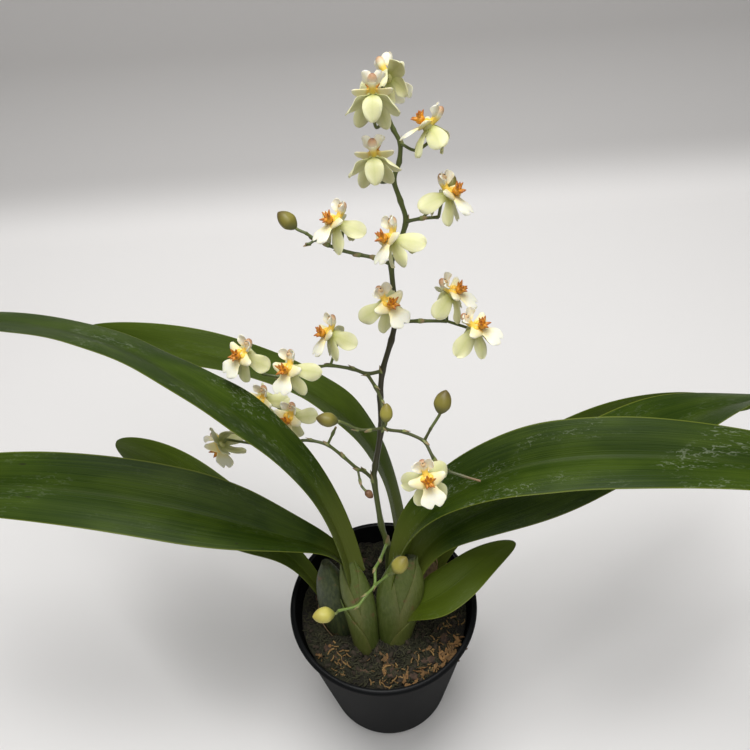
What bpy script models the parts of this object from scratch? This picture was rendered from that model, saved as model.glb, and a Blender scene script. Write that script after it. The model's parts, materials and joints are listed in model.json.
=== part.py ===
"""Twinkle-type oncidium orchid in a small round nursery pot.

Units are metres in the scene; the design values below are millimetres.
The origin is the centre of the pot's underside, +Z is up and -Y is the
side the plant is seen from.  Each growth (sheathed pseudobulb with its
leaves), the branched flower stem, each bloom, each orange crest and each
bud is one closed solid.
"""

import math
import random

import bmesh
import bpy
import numpy as np
from mathutils import Matrix, Vector

MM = 0.001
GAP = 0.3

# Pot
RIM_RADIUS = 40.0
POT_HEIGHT = 80.0
BASE_RADIUS = 28.0
WALL = 1.4
FLOOR = 2.4
FOOT_ROUND = 6.0
RIM_BAND = 3.4
POT_SIDES = 32

# Growing medium
MEDIUM_TOP = 71.5
MEDIUM_SIDES = 22
MEDIUM_RINGS = (9.0, 18.0, 27.0)

# Leaves
LEAF_THICKNESS = 0.9
LEAF_STATIONS = 17

# Blooms
PETAL_THICKNESS = 0.7
CORE_RADIUS = 1.9
PEDICEL_RADIUS = 0.5
CREST_CENTRE = (0.0, 2.92, -1.0)

PALETTE = {
    "pot": ((0.012, 0.012, 0.013), 0.34),
    "medium": ((0.055, 0.040, 0.022), 0.95),
    "leaf": ((0.075, 0.150, 0.022), 0.42),
    "stem": ((0.120, 0.170, 0.040), 0.50),
    "bloom": ((0.800, 0.790, 0.600), 0.55),
    "crest": ((0.780, 0.270, 0.020), 0.50),
    "bud": ((0.420, 0.460, 0.120), 0.50),
    "dry": ((0.260, 0.110, 0.040), 0.80),
}

# A leaf: midrib control points, width, roll along it in degrees, fold
# at the base and further out, share of the width at the base, where it
# is widest, and how blunt the tip is.
LEAVES = {
    "leaf_upper_left": dict(
        spine=[(-12, -1, 104), (-16, 8, 138), (-32, 13, 173),
               (-57, 20, 197), (-87, 38, 207), (-127, 62, 196),
               (-178, 96, 173)],
        width=26, roll=(-5, 3, 19, 31, 36, 16, -15), fold=(22, 4),
        base=0.40, peak=0.50, tip=2.2),
    "leaf_lower_left": dict(
        spine=[(-14, 0, 104), (-16, 4, 116), (-32, 5, 124),
               (-65, 12, 136), (-112, 22, 144), (-168, 29, 145),
               (-229, 32, 138)],
        width=32, roll=(5, 0, -10, -17, -20, -23, -24), fold=(38, 14),
        base=0.25, peak=0.56, tip=3.0),
    "leaf_back": dict(
        spine=[(10, 14, 80), (8, 30, 114), (1, 40, 135),
               (-15, 50, 153), (-44, 66, 160), (-83, 85, 158),
               (-128, 106, 152)],
        width=27, roll=(2, 17, 26, 30, 21, -7, -38), fold=(14, 16),
        base=0.42, peak=0.54, tip=3.4),
    "leaf_far_right": dict(
        spine=[(21, 11, 74), (29, 16, 94), (44, 30, 108),
               (76, 50, 118), (118, 66, 118), (152, 74, 110),
               (186, 82, 94)],
        width=18, roll=(10, 20, 40, 55, 60, 60, 50), fold=(25, 10),
        base=0.40, peak=0.50, tip=2.6),
    "leaf_short_left": dict(
        spine=[(-22, -1, 73), (-32, 14, 91), (-50, 20, 103),
               (-71, 32, 114), (-93, 53, 118), (-121, 75, 107)],
        width=25, roll=(2, 0, -10, -24, -41, -55), fold=(40, 0),
        base=0.30, peak=0.60, tip=3.0),
    "leaf_upper_right": dict(
        spine=[(8, -1, 98), (11, 8, 120), (29, 14, 137),
               (61, 16, 151), (102, 9, 159), (152, 0, 156),
               (211, -10, 143)],
        width=31, roll=(4, 6, 14, 19, 18, 11, 2), fold=(30, 20),
        base=0.36, peak=0.55, tip=3.2),
    "leaf_lower_right": dict(
        spine=[(12, -1, 94), (16, 8, 108), (34, 14, 118),
               (69, 20, 129), (107, 34, 137), (147, 51, 134),
               (189, 68, 117)],
        width=31, roll=(18, 26, 39, 40, 17, -19, -50), fold=(28, 18),
        base=0.30, peak=0.58, tip=3.2),
    "leaf_short_right": dict(
        spine=[(8, -8, 84), (12, -9, 90), (20, -10, 95),
               (33, -4, 101), (44, 6, 101), (58, 15, 95)],
        width=21, roll=(-3, -10, -13, -8, 1, 6), fold=(14, 4),
        base=0.48, peak=0.45, tip=2.6),
}

# A sheathed bulb: centre, half width and half thickness per station.
BULBS = {
    "left_growth": [((-7.6, -14.4, 66), 4.2, 3.8),
                    ((-8.2, -13.4, 75), 4.6, 4.2),
                    ((-9.2, -8.5, 90), 5.4, 4.2),
                    ((-11.6, -2.0, 104), 5.6, 3.4),
                    ((-13.2, 2.4, 112), 4.4, 2.0)],
    "right_growth": [((3.6, -12.2, 66), 5.4, 4.6),
                     ((4.2, -11.0, 75), 6.4, 5.2),
                     ((6.4, -7.0, 90), 8.4, 5.0),
                     ((8.8, -2.0, 103), 9.4, 4.0),
                     ((10.4, 2.0, 111), 8.6, 2.2)],
    "dark_growth": [((-18.0, -6.4, 66), 4.4, 4.2),
                    ((-18.6, -4.8, 75), 6.8, 6.0),
                    ((-19.8, -2.2, 87), 7.4, 6.2),
                    ((-21.0, 1.0, 99), 5.6, 4.8),
                    ((-22.0, 3.8, 108), 1.8, 1.6)],
    "back_growth": [((15.5, 11.0, 66), 6.4, 3.6),
                    ((15.5, 12.0, 75), 8.0, 3.8),
                    ((15.5, 13.4, 84), 7.6, 3.0),
                    ((16.0, 14.8, 91), 5.0, 1.6)],
}
GROWTH_LEAVES = {
    "left_growth": ("leaf_upper_left", "leaf_lower_left"),
    "right_growth": ("leaf_upper_right", "leaf_lower_right",
                     "leaf_short_right"),
    "dark_growth": ("leaf_short_left",),
    "back_growth": ("leaf_back", "leaf_far_right"),
}

# The flower stem.  Each run is a line of nodes with a start and an end
# radius; a side run starts on the run that carries it.
STEM_FOOT = (3.0, 8.2, 66.0)
STEM_RUNS = {
    "main": ([STEM_FOOT, (3.2, 9.6, 86), (3.3, 12.6, 105),
              (1.5, 15.5, 114.5), (-0.1, 22, 136.4), (0.8, 24, 143),
              (4, 28.8, 159), (4.5, 33.1, 173), (5.9, 36.1, 183.3),
              (9.8, 39.7, 195), (11.5, 41.7, 201.8), (11.6, 44.1, 209.8),
              (11.1, 47.9, 222.6), (12.9, 49, 226), (16.8, 52.1, 236.4),
              (15.2, 54.1, 243.2), (13.3, 56.1, 249.8),
              (15.4, 57.8, 255.2), (16, 59.4, 260.7),
              (14, 60.7, 264.8), (12.4, 62, 269)], 1.35, 0.75),
    "low": ([(3.3, 12.6, 105.1), (0.1, 1.4, 110.9), (-2.1, -3.1, 112.1),
             (-2.5, -9.8, 111.2), (-6.1, -13.8, 111.5),
             (-9.5, -18.1, 111.5), (-16.9, -20.5, 113.3)], 0.7, 0.55),
    "low_side": ([(-2.5, -9.8, 111.2), (2.9, -9.2, 117.4)], 0.6, 0.5),
    "left": ([(-0.1, 22, 136.4), (-3.7, 22.9, 141.7),
              (-6.1, 22.4, 143.9), (-11.3, 24.6, 149.6),
              (-16.8, 26.8, 154.6), (-23, 28, 156.4),
              (-29, 27.8, 157), (-38.6, 26.8, 157),
              (-45.9, 27.6, 157.6)], 0.8, 0.55),
    "left_stub": ([(-16.8, 26.8, 154.6), (-14.6, 28.8, 158.2),
                   (-13, 30, 161)], 0.55, 0.5),
    "left_dry": ([(-6.1, 22.4, 143.9), (-5.5, 18.7, 141.7),
                  (-5.1, 17.1, 140.1)], 0.5, 0.45),
    "mid": ([(5.9, 36.1, 183.3), (0.3, 34, 184.5), (-4.6, 34.1, 187.4),
             (-12.4, 33.3, 190.8), (-16.3, 31, 192.8)], 0.8, 0.6),
    "mid_far": ([(-16.3, 31, 192.8), (-23.2, 30.4, 190.2),
                 (-30.3, 30.6, 189.6), (-36.4, 31.4, 190.6)], 0.6, 0.5),
    "hanging": ([(0.3, 34, 184.5), (3.1, 26.2, 185.2),
                 (4.9, 19.1, 185.3), (4.9, 8.1, 184.4),
                 (11.5, 4.2, 186.2), (17.7, -0.8, 186.9),
                 (20.3, -5.5, 183.7), (24.6, -5.4, 176.6),
                 (29.9, -7.6, 175.6), (35.4, -10.5, 176.1)], 0.7, 0.5),
    "hanging_left": ([(4.9, 8.1, 184.4), (0.2, 6.5, 185.7),
                      (-3.9, 6.2, 186.8), (-7, 6.8, 188.7)], 0.6, 0.5),
    "hanging_right": ([(17.7, -0.8, 186.9), (20.1, 0.8, 191.3)],
                      0.55, 0.5),
    "right": ([(11.5, 41.7, 201.8), (19.6, 34.1, 208.3),
               (28.3, 30.7, 210.5)], 0.75, 0.6),
    "upper_left": ([(11.1, 47.9, 222.6), (5.7, 43.7, 228.8),
                    (0.6, 43.9, 230.4), (-5.3, 44.5, 232.3),
                    (-9.3, 45, 234.3), (-13.2, 46.5, 235.7),
                    (-16.1, 47.3, 237.9)], 0.75, 0.55),
    "upper_left_stub": ([(-13.2, 46.5, 235.7), (-15.2, 46, 234.6),
                         (-16.6, 45.6, 234.9)], 0.5, 0.45),
    "upper_right": ([(16.8, 52.1, 236.4), (21.4, 46.6, 241),
                     (26.7, 45.2, 242)], 0.7, 0.55),
}

# A bloom: pedicel junction, azimuth and elevation it faces, roll of its
# column about that direction, the node its pedicel leaves from, and the
# bend of the pedicel in the bloom's own axes.
BLOOMS = {
    "top_front": ((8.0, 58.0, 277.6), 87, 22, 2,
                  (12.4, 62, 269), (1, -6, -7)),
    "top_back": ((13.5, 74.0, 275.7), 69, -10, -40,
                 (12.4, 62, 269), (-5, -6, -5)),
    "top_right": ((24.2, 53.6, 269.0), 145, 51, 34,
                  (16, 59.4, 260.7), (1, -4, -7)),
    "high_left": ((7.4, 51.8, 260.6), 88, 24, -4,
                  (13.3, 56.1, 249.8), (1, -4, -7)),
    "high_right": ((29.7, 44.7, 250.5), -9, 50, -29,
                   (26.7, 45.2, 242), (-1, -7, -2)),
    "shoulder_left": ((-6.0, 47.9, 240.9), -169, 55, 23,
                      (-5.3, 44.5, 232.3), (-1, -6, -4)),
    "centre_high": ((11.2, 37.6, 240.4), -173, 38, 41,
                    (15.4, 50.6, 231.5), (7, -8, 1)),
    "centre_mid": ((8.6, 32.6, 218.2), -57, 49, 10,
                   (11.6, 44.1, 209.8), (-7, -10, -1)),
    "right_high": ((30.4, 35.4, 218.4), -7, 54, -3,
                   (28.3, 30.7, 210.5), (1, -4, -1)),
    "right_low": ((37.3, 26.0, 210.6), -22, 65, -3,
                  (28.3, 30.7, 210.5), (-5, -6, 0)),
    "mid_top": ((-11.7, 38.6, 201.2), -176, 39, 30,
                (-12.4, 33.3, 190.8), (-1, -4, -3)),
    "mid_front": ((-25.8, 25.2, 198.4), -139, 50, 20,
                  (-16.3, 31, 192.8), (-3, -6, -1)),
    "mid_left": ((-41.9, 32.4, 199.6), -137, 48, -10,
                 (-36.4, 31.4, 190.6), (-3, -6, -1)),
    "low_left": ((-40.8, 42.2, 165.5), -128, 35, 0,
                 (-29, 27.8, 157), (-9, -4, -3)),
    "low_inner": ((-29.5, 30.8, 167.8), -119, 31, -7,
                  (-29, 27.8, 157), (-1, -4, -5)),
    "low_far": ((-56.7, 26.1, 160.1), -175, -45, 66,
                (-45.9, 27.6, 157.6), (3, -4, -1)),
    "front": ((17.4, -13.7, 183.5), -89, 52, 12,
              (24.6, -5.4, 176.6), (-5, -7, 0)),
}

# A bud: root, tip, width, the node its pedicel leaves from, colour.
BUDS = {
    "bud_shoulder": ((-19.2, 48.4, 239.4), (-24.6, 51.6, 243.6), 5.6,
                     (-16.1, 47.3, 237.9), "bud"),
    "bud_right": ((23.2, 3.6, 195.2), (25.6, 7.2, 202.0), 5.8,
                  (20.1, 0.8, 191.3), "bud"),
    "bud_centre": ((5.7, 8.4, 187.0), (6.4, 11.0, 193.4), 4.4,
                   (4.9, 8.1, 184.4), "bud"),
    "bud_left": ((-10.2, 7.0, 190.6), (-17.2, 7.2, 192.8), 5.0,
                 (-7, 6.8, 188.7), "bud"),
    "bud_low": ((5.4, -9.4, 119.8), (10.2, -7.4, 126.4), 6.2,
                (2.9, -9.2, 117.4), "bud"),
    "bud_low_left": ((-18.4, -21.8, 113.8), (-26.2, -23.8, 116.2), 6.2,
                     (-16.9, -20.5, 113.3), "bud"),
    "bud_high_right": ((31.0, 56.4, 243.4), (33.4, 60.0, 247.6), 3.6,
                       (21.4, 46.6, 241), "bud"),
    "bud_dried": ((-3.6, 15.2, 139.4), (-1.0, 13.0, 137.4), 2.9,
                  (-5.1, 17.1, 140.1), "dry"),
}

# Bark chips lying half sunk in the medium: x, y, heading, length.
CHIPS = ((17, -24, 20, 9), (-23, -18, 130, 8), (25, -14, 70, 7),
         (1, -26, 90, 9), (-10, -28, 150, 6), (22, 22, -40, 8),
         (-8, 26, 15, 9), (-28, 10, 80, 7), (9, -31, 170, 6))


def unit(vector):
    """Return the vector scaled to length one."""
    vector = np.asarray(vector, float)
    return vector / np.linalg.norm(vector)


def ease(value):
    """Smooth ramp from 0 to 1, clamped outside."""
    value = np.clip(value, 0.0, 1.0)
    return value * value * (3.0 - 2.0 * value)


def spline_weights(count, places):
    """Weights of a clamped cubic B-spline with evenly spaced knots."""
    degree = 3
    knots = [0.0] * degree
    knots += list(np.linspace(0.0, 1.0, count - degree + 1))
    knots += [1.0] * degree
    places = np.clip(places, 0.0, 1.0 - 1e-9)
    rows = [((places >= a) & (places < b)).astype(float)
            for a, b in zip(knots[:-1], knots[1:])]
    for order in range(1, degree + 1):
        raised = []
        for i in range(len(rows) - 1):
            total = np.zeros_like(places)
            rise = knots[i + order] - knots[i]
            fall = knots[i + order + 1] - knots[i + 1]
            if rise > 0:
                total = total + (places - knots[i]) / rise * rows[i]
            if fall > 0:
                share = (knots[i + order + 1] - places) / fall
                total = total + share * rows[i + 1]
            raised.append(total)
        rows = raised
    return np.array(rows).T


def leaf_lines(spec, places):
    """Midrib, left half, right half and normals of a leaf."""
    spine = np.array(spec["spine"], float)
    weights = spline_weights(len(spine), places)
    step = 1e-3
    ahead = spline_weights(len(spine), places + step) @ spine
    behind = spline_weights(len(spine), places - step) @ spine
    tangent = ahead - behind
    tangent /= np.linalg.norm(tangent, axis=1, keepdims=True)
    reach = spine[-1] - spine[0]
    side = unit((-reach[1], reach[0], 0.0))
    side = side - (tangent @ side)[:, None] * tangent
    side /= np.linalg.norm(side, axis=1, keepdims=True)
    normal = np.cross(tangent, side)
    roll = weights @ np.radians(spec["roll"])
    cos_r = np.cos(roll)[:, None]
    sin_r = np.sin(roll)[:, None]
    across = cos_r * side + sin_r * normal
    upward = cos_r * normal - sin_r * side
    fold_a, fold_b = np.radians(spec["fold"])
    fold = (fold_a + (fold_b - fold_a) * ease(places / 0.7))[:, None]
    beyond = np.clip((places - spec["peak"]) / (1 - spec["peak"]), 0, 1)
    taper = np.sqrt(np.clip(1 - beyond ** spec["tip"], 0.0, 1.0))
    swell = spec["base"] + (1 - spec["base"]) * ease(places / spec["peak"])
    half = (0.5 * spec["width"] * swell * taper)[:, None]
    left = half * (np.cos(fold) * across + np.sin(fold) * upward)
    right = half * (-np.cos(fold) * across + np.sin(fold) * upward)
    return weights @ spine, left, right, upward, across


def leaf_rings(spec):
    """Closed six-point sections of a leaf blade, base to tip."""
    places = 1 - (1 - np.linspace(0.0, 0.995, LEAF_STATIONS)) ** 1.25
    mid, left, right, up, across = leaf_lines(spec, places)
    lift = 0.5 * LEAF_THICKNESS
    rings = []
    for m, l, r, n, a in zip(mid, left, right, up, across):
        l_n = unit(np.cross(np.cross(l, n), l)) * lift
        r_n = unit(np.cross(np.cross(r, n), r)) * lift
        rings.append([m + l + l_n, m + n * lift, m + r + r_n,
                      m + r - r_n, m - n * lift, m + l - l_n])
    return rings


def blade_rings(root, aim, bend, length, width, shape, side=None):
    """Four-point sections of a petal with an even thickness.

    Args:
        root: middle of the root, inside what carries the blade.
        aim: direction the blade leaves in.
        bend: vector added towards the tip, as a share of the length.
        length: length along the aim.
        width: widest width.
        shape: pairs of place along the blade and share of the width.
        side: direction of the width; across the aim and +Y if left out.
    """
    aim = unit(aim)
    bend = np.asarray(bend, float)
    if side is None:
        side = unit(np.cross(aim, (0.0, 1.0, 0.0)))
    side = np.asarray(side, float)
    rings = []
    for place, share in shape:
        centre = np.asarray(root, float)
        centre = centre + length * (place * aim + place * place * bend)
        along = unit(aim + 2 * place * bend)
        across = unit(side - (side @ along) * along)
        lift = np.cross(along, across) * 0.5 * PETAL_THICKNESS
        half = across * 0.5 * width * share
        rings.append([centre - half + lift, centre + half + lift,
                      centre + half - lift, centre - half - lift])
    return rings


def tube_rings(points, radii, sides, start_side=(1.0, 0.0, 0.0)):
    """Round sections along a line of points with parallel frames."""
    points = [np.asarray(p, float) for p in points]
    side = np.asarray(start_side, float)
    rings = []
    for i, centre in enumerate(points):
        before = points[max(i - 1, 0)]
        after = points[min(i + 1, len(points) - 1)]
        along = unit(after - before)
        side = side - (side @ along) * along
        if np.linalg.norm(side) < 1e-6:
            side = np.array((0.0, 1.0, 0.0)) - along[1] * along
        side = unit(side)
        other = np.cross(along, side)
        ring = []
        for k in range(sides):
            angle = math.tau * k / sides
            ring.append(centre + radii[i] * (math.cos(angle) * side
                                             + math.sin(angle) * other))
        rings.append(ring)
    return rings


def oval_rings(stations, sides, grow=0.0):
    """Level oval sections for a sheathed bulb or for its hole."""
    rings = []
    for (x, y, z), half_width, half_depth in stations:
        ring = []
        for k in range(sides):
            angle = math.tau * k / sides
            ring.append((x + (half_width + grow) * math.cos(angle),
                         y + (half_depth + grow) * math.sin(angle), z))
        rings.append(ring)
    return rings


def mesh_from_rings(name, rings, frame=None):
    """Build one closed mesh from sections of equal size.

    Every side is split along the same diagonal, also on the two faces
    of a blade, so that the faces stay parallel.
    """
    size = len(rings[0])
    verts = []
    for ring in rings:
        for point in ring:
            vector = Vector([float(c) for c in point])
            if frame is not None:
                vector = frame @ vector
            verts.append(vector * MM)
    faces = []
    for i in range(len(rings) - 1):
        for k in range(size):
            a = i * size + k
            b = i * size + (k + 1) % size
            faces.append((a, b, b + size))
            faces.append((a, b + size, a + size))
    first = list(range(size))
    last = [len(verts) - size + k for k in range(size)]
    faces.append(tuple(reversed(first)))
    faces.append(tuple(last))
    mesh = bpy.data.meshes.new(name)
    mesh.from_pydata([tuple(v) for v in verts], [], faces)
    work = bmesh.new()
    work.from_mesh(mesh)
    bmesh.ops.triangulate(work, faces=[f for f in work.faces
                                       if len(f.verts) > 3])
    bmesh.ops.recalc_face_normals(work, faces=work.faces[:])
    if work.calc_volume(signed=True) < 0:
        bmesh.ops.reverse_faces(work, faces=work.faces[:])
    work.to_mesh(mesh)
    work.free()
    return mesh


def ball_mesh(name, centre, radii, rings, sides, frame=None):
    """A closed egg or ball from level rings and two poles."""
    verts = [Vector((0, 0, -1))]
    for i in range(1, rings):
        tilt = math.pi * i / rings
        for k in range(sides):
            angle = math.tau * k / sides
            verts.append(Vector((math.sin(tilt) * math.cos(angle),
                                 math.sin(tilt) * math.sin(angle),
                                 -math.cos(tilt))))
    verts.append(Vector((0, 0, 1)))
    placed = []
    for vert in verts:
        point = Vector([c + r * v for c, r, v in
                        zip(centre, radii, vert)])
        if frame is not None:
            point = frame @ point
        placed.append(tuple(point * MM))
    faces = []
    for k in range(sides):
        nxt = (k + 1) % sides
        faces.append((0, 1 + nxt, 1 + k))
        for i in range(rings - 2):
            a = 1 + i * sides + k
            b = 1 + i * sides + nxt
            faces.append((a, b, b + sides))
            faces.append((a, b + sides, a + sides))
        top = 1 + (rings - 2) * sides
        faces.append((top + k, top + nxt, len(verts) - 1))
    mesh = bpy.data.meshes.new(name)
    mesh.from_pydata(placed, [], faces)
    return mesh


def material(key):
    """The Principled material of one colour of the palette."""
    existing = bpy.data.materials.get(key)
    if existing is not None:
        return existing
    colour, rough = PALETTE[key]
    made = bpy.data.materials.new(key)
    made.use_nodes = True
    shader = made.node_tree.nodes["Principled BSDF"]
    shader.inputs["Base Color"].default_value = (*colour, 1.0)
    shader.inputs["Roughness"].default_value = rough
    shader.inputs["Metallic"].default_value = 0.0
    return made


def add_object(name, mesh, key, smooth=True):
    """Link a named object with its material."""
    obj = bpy.data.objects.new(name, mesh)
    bpy.context.scene.collection.objects.link(obj)
    mesh.materials.clear()
    mesh.materials.append(material(key))
    if smooth:
        mesh.shade_smooth()
        mesh.set_sharp_from_angle(angle=math.radians(38))
    return obj


def combine(name, meshes, key, operation="UNION"):
    """Join meshes into one body with one Boolean on a collection."""
    obj = bpy.data.objects.new(name, meshes[0])
    bpy.context.scene.collection.objects.link(obj)
    if len(meshes) > 1:
        group = bpy.data.collections.new(name + "_pieces")
        bpy.context.scene.collection.children.link(group)
        for mesh in meshes[1:]:
            group.objects.link(bpy.data.objects.new(mesh.name, mesh))
        join = obj.modifiers.new("join", "BOOLEAN")
        join.operation = operation
        join.solver = "EXACT"
        join.operand_type = "COLLECTION"
        join.collection = group
        graph = bpy.context.evaluated_depsgraph_get()
        joined = bpy.data.meshes.new_from_object(
            obj.evaluated_get(graph), depsgraph=graph)
        obj.modifiers.clear()
        obj.data = joined
        for piece in list(group.objects):
            bpy.data.objects.remove(piece)
        bpy.data.collections.remove(group)
    clean(obj.data)
    obj.data.name = name
    obj.data.materials.clear()
    obj.data.materials.append(material(key))
    obj.data.shade_smooth()
    obj.data.set_sharp_from_angle(angle=math.radians(38))
    return obj


def clean(mesh):
    """Merge flat neighbours left by a Boolean and keep triangles."""
    for degrees in (0.6, 0.2, 0.05, 0.0):
        work = bmesh.new()
        work.from_mesh(mesh)
        if degrees > 0.0:
            bmesh.ops.dissolve_limit(
                work, angle_limit=math.radians(degrees),
                verts=work.verts[:], edges=work.edges[:])
        bmesh.ops.triangulate(work, faces=[f for f in work.faces
                                           if len(f.verts) > 3])
        closed = all(len(e.link_faces) == 2 for e in work.edges)
        if closed or degrees == 0.0:
            work.to_mesh(mesh)
            work.free()
            return
        work.free()


def pot_wall_radius(height):
    """Outer radius of the tapered wall at a height."""
    return BASE_RADIUS + (RIM_RADIUS - 1.2 - BASE_RADIUS) * height / POT_HEIGHT


def build_pot():
    """Turn the pot: rounded foot, tapered wall and slim rolled rim."""
    profile = [(BASE_RADIUS - FOOT_ROUND, 0.0)]
    for step in (1, 2, 3):
        angle = math.radians(30 * step)
        profile.append((
            BASE_RADIUS - FOOT_ROUND * (1 - math.sin(angle))
            + 0.1 * FOOT_ROUND * step / 3,
            FOOT_ROUND * (1 - math.cos(angle))))
    band = POT_HEIGHT - RIM_BAND
    profile += [(pot_wall_radius(band), band),
                (RIM_RADIUS - 0.3, band + 0.5),
                (RIM_RADIUS, band + 1.6),
                (RIM_RADIUS - 0.3, POT_HEIGHT - 0.4),
                (RIM_RADIUS - 1.3, POT_HEIGHT),
                (RIM_RADIUS - 2.4, POT_HEIGHT - 0.8)]
    profile += [(pot_wall_radius(h) - WALL, h) for h in (72.0, 9.0)]
    profile += [(BASE_RADIUS - FOOT_ROUND, FLOOR)]
    verts = []
    for radius, height in profile:
        for k in range(POT_SIDES):
            angle = math.tau * k / POT_SIDES
            verts.append((radius * math.cos(angle) * MM,
                          radius * math.sin(angle) * MM, height * MM))
    under = len(verts)
    verts.append((0.0, 0.0, 0.0))
    verts.append((0.0, 0.0, FLOOR * MM))
    faces = []
    rows = len(profile)
    for i in range(rows - 1):
        for k in range(POT_SIDES):
            a = i * POT_SIDES + k
            b = i * POT_SIDES + (k + 1) % POT_SIDES
            faces.append((a, b, b + POT_SIDES, a + POT_SIDES))
    for k in range(POT_SIDES):
        nxt = (k + 1) % POT_SIDES
        top = (rows - 1) * POT_SIDES
        faces.append((nxt, k, under))
        faces.append((top + k, top + nxt, under + 1))
    mesh = bpy.data.meshes.new("pot")
    mesh.from_pydata(verts, [], faces)
    add_object("pot", mesh, "pot")


def medium_height(x, y):
    """Uneven top of the medium, a little higher towards the front."""
    wave = (math.sin(0.31 * x + 1.3) * math.cos(0.27 * y - 0.6)
            + 0.6 * math.sin(0.63 * x - 0.41 * y + 2.1))
    return MEDIUM_TOP - 0.045 * y + 0.9 * wave


def build_medium():
    """Fill the pot with medium and cut the holes the growths stand in."""
    top_radius = pot_wall_radius(MEDIUM_TOP) - WALL - GAP - 0.4
    wall = []
    for height in (9.0, 40.0):
        wall.append((pot_wall_radius(height) - WALL - GAP - 0.3, height))
    verts = [(0.0, 0.0, (FLOOR + GAP) * MM)]
    rows = [(BASE_RADIUS - FOOT_ROUND - 0.4, FLOOR + GAP)] + wall
    for radius, height in rows:
        for k in range(MEDIUM_SIDES):
            angle = math.tau * k / MEDIUM_SIDES
            verts.append((radius * math.cos(angle) * MM,
                          radius * math.sin(angle) * MM, height * MM))
    for radius in (top_radius, *reversed(MEDIUM_RINGS)):
        for k in range(MEDIUM_SIDES):
            angle = math.tau * k / MEDIUM_SIDES
            x = radius * math.cos(angle)
            y = radius * math.sin(angle)
            verts.append((x * MM, y * MM, medium_height(x, y) * MM))
    verts.append((0.0, 0.0, medium_height(0.0, 0.0) * MM))
    count = len(rows) + 1 + len(MEDIUM_RINGS)
    faces = []
    for k in range(MEDIUM_SIDES):
        nxt = (k + 1) % MEDIUM_SIDES
        faces.append((0, 1 + nxt, 1 + k))
        for i in range(count - 1):
            a = 1 + i * MEDIUM_SIDES + k
            b = 1 + i * MEDIUM_SIDES + nxt
            faces.append((a, b, b + MEDIUM_SIDES))
            faces.append((a, b + MEDIUM_SIDES, a + MEDIUM_SIDES))
        top = 1 + (count - 1) * MEDIUM_SIDES
        faces.append((top + k, top + nxt, len(verts) - 1))
    body = bpy.data.meshes.new("medium")
    body.from_pydata(verts, [], faces)
    chips = []
    for x, y, heading, length in CHIPS:
        angle = math.radians(heading)
        level = medium_height(x, y) - 0.5
        frame = (Matrix.Translation((x, y, level))
                 @ Matrix.Rotation(angle, 4, "Z")
                 @ Matrix.Rotation(0.16, 4, "Y"))
        half = 0.5 * length
        rings = [[(-half, -1.0, -0.8), (-half, 1.2, -0.8),
                  (-half, 0.9, 0.9), (-half, -0.8, 0.9)],
                 [(0.0, -1.7, -1.0), (0.0, 1.6, -1.0),
                  (0.0, 1.3, 1.3), (0.0, -1.4, 1.3)],
                 [(half, -0.9, -0.8), (half, 0.8, -0.8),
                  (half, 0.6, 0.6), (half, -0.7, 0.6)]]
        chips.append(mesh_from_rings("chip", rings, frame))
    medium = combine("medium", [body] + chips, "medium")
    holes = []
    for stations in BULBS.values():
        low, high = stations[0], stations[1]
        foot = ((low[0][0], low[0][1], low[0][2] - GAP),
                low[1], low[2])
        slope = [h + (h - b) * 0.6 for h, b in zip(high[0], low[0])]
        lip = (tuple(slope), high[1] + 0.6, high[2] + 0.6)
        holes.append(mesh_from_rings(
            "hole", oval_rings([foot, high, lip], 12, GAP + 0.1)))
    x, y, z = STEM_FOOT
    holes.append(mesh_from_rings("hole", tube_rings(
        [(x, y, z - GAP), (x + 0.2, y + 1.4, z + 20)],
        [1.35 + GAP + 0.1] * 2, 8)))
    finished = combine_cut(medium, holes)
    finished.name = "medium"


def combine_cut(obj, cutters):
    """Cut a list of meshes out of an object, applied."""
    group = bpy.data.collections.new("cutters")
    bpy.context.scene.collection.children.link(group)
    for mesh in cutters:
        group.objects.link(bpy.data.objects.new(mesh.name, mesh))
    cut = obj.modifiers.new("cut", "BOOLEAN")
    cut.operation = "DIFFERENCE"
    cut.solver = "EXACT"
    cut.operand_type = "COLLECTION"
    cut.collection = group
    graph = bpy.context.evaluated_depsgraph_get()
    result = bpy.data.meshes.new_from_object(
        obj.evaluated_get(graph), depsgraph=graph)
    obj.modifiers.clear()
    obj.data = result
    for piece in list(group.objects):
        bpy.data.objects.remove(piece)
    bpy.data.collections.remove(group)
    clean(result)
    return obj


def build_growths():
    """Each growth: its sheathed bulb with the leaves that leave it."""
    for name, stations in BULBS.items():
        pieces = [mesh_from_rings(name, oval_rings(stations, 12))]
        for leaf in GROWTH_LEAVES[name]:
            pieces.append(mesh_from_rings(leaf, leaf_rings(LEAVES[leaf])))
        combine(name, pieces, "leaf")


def bloom_frame(spec):
    """Matrix from a bloom's own axes to the plant: +Y faces, +Z column."""
    place, azimuth, elevation, roll = spec[:4]
    az, el, ro = (math.radians(v) for v in (azimuth, elevation, roll))
    face = Vector((math.cos(el) * math.cos(az),
                   math.cos(el) * math.sin(az), math.sin(el)))
    up = Vector((0, 0, 1)) - face.z * face
    up.normalize()
    column = math.cos(ro) * up + math.sin(ro) * face.cross(up)
    side = face.cross(column)
    turn = Matrix((side, face, column)).transposed().to_4x4()
    return Matrix.Translation(place) @ turn


TEPAL = ((0.0, 0.34), (0.33, 0.84), (0.70, 0.92), (1.0, 0.22))
SEPAL = ((0.0, 0.34), (0.55, 1.0), (1.0, 0.24))
LOBE = ((0.0, 0.6), (0.45, 1.0), (1.0, 0.3))
WING = ((0.0, 0.7), (1.0, 1.0))


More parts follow.
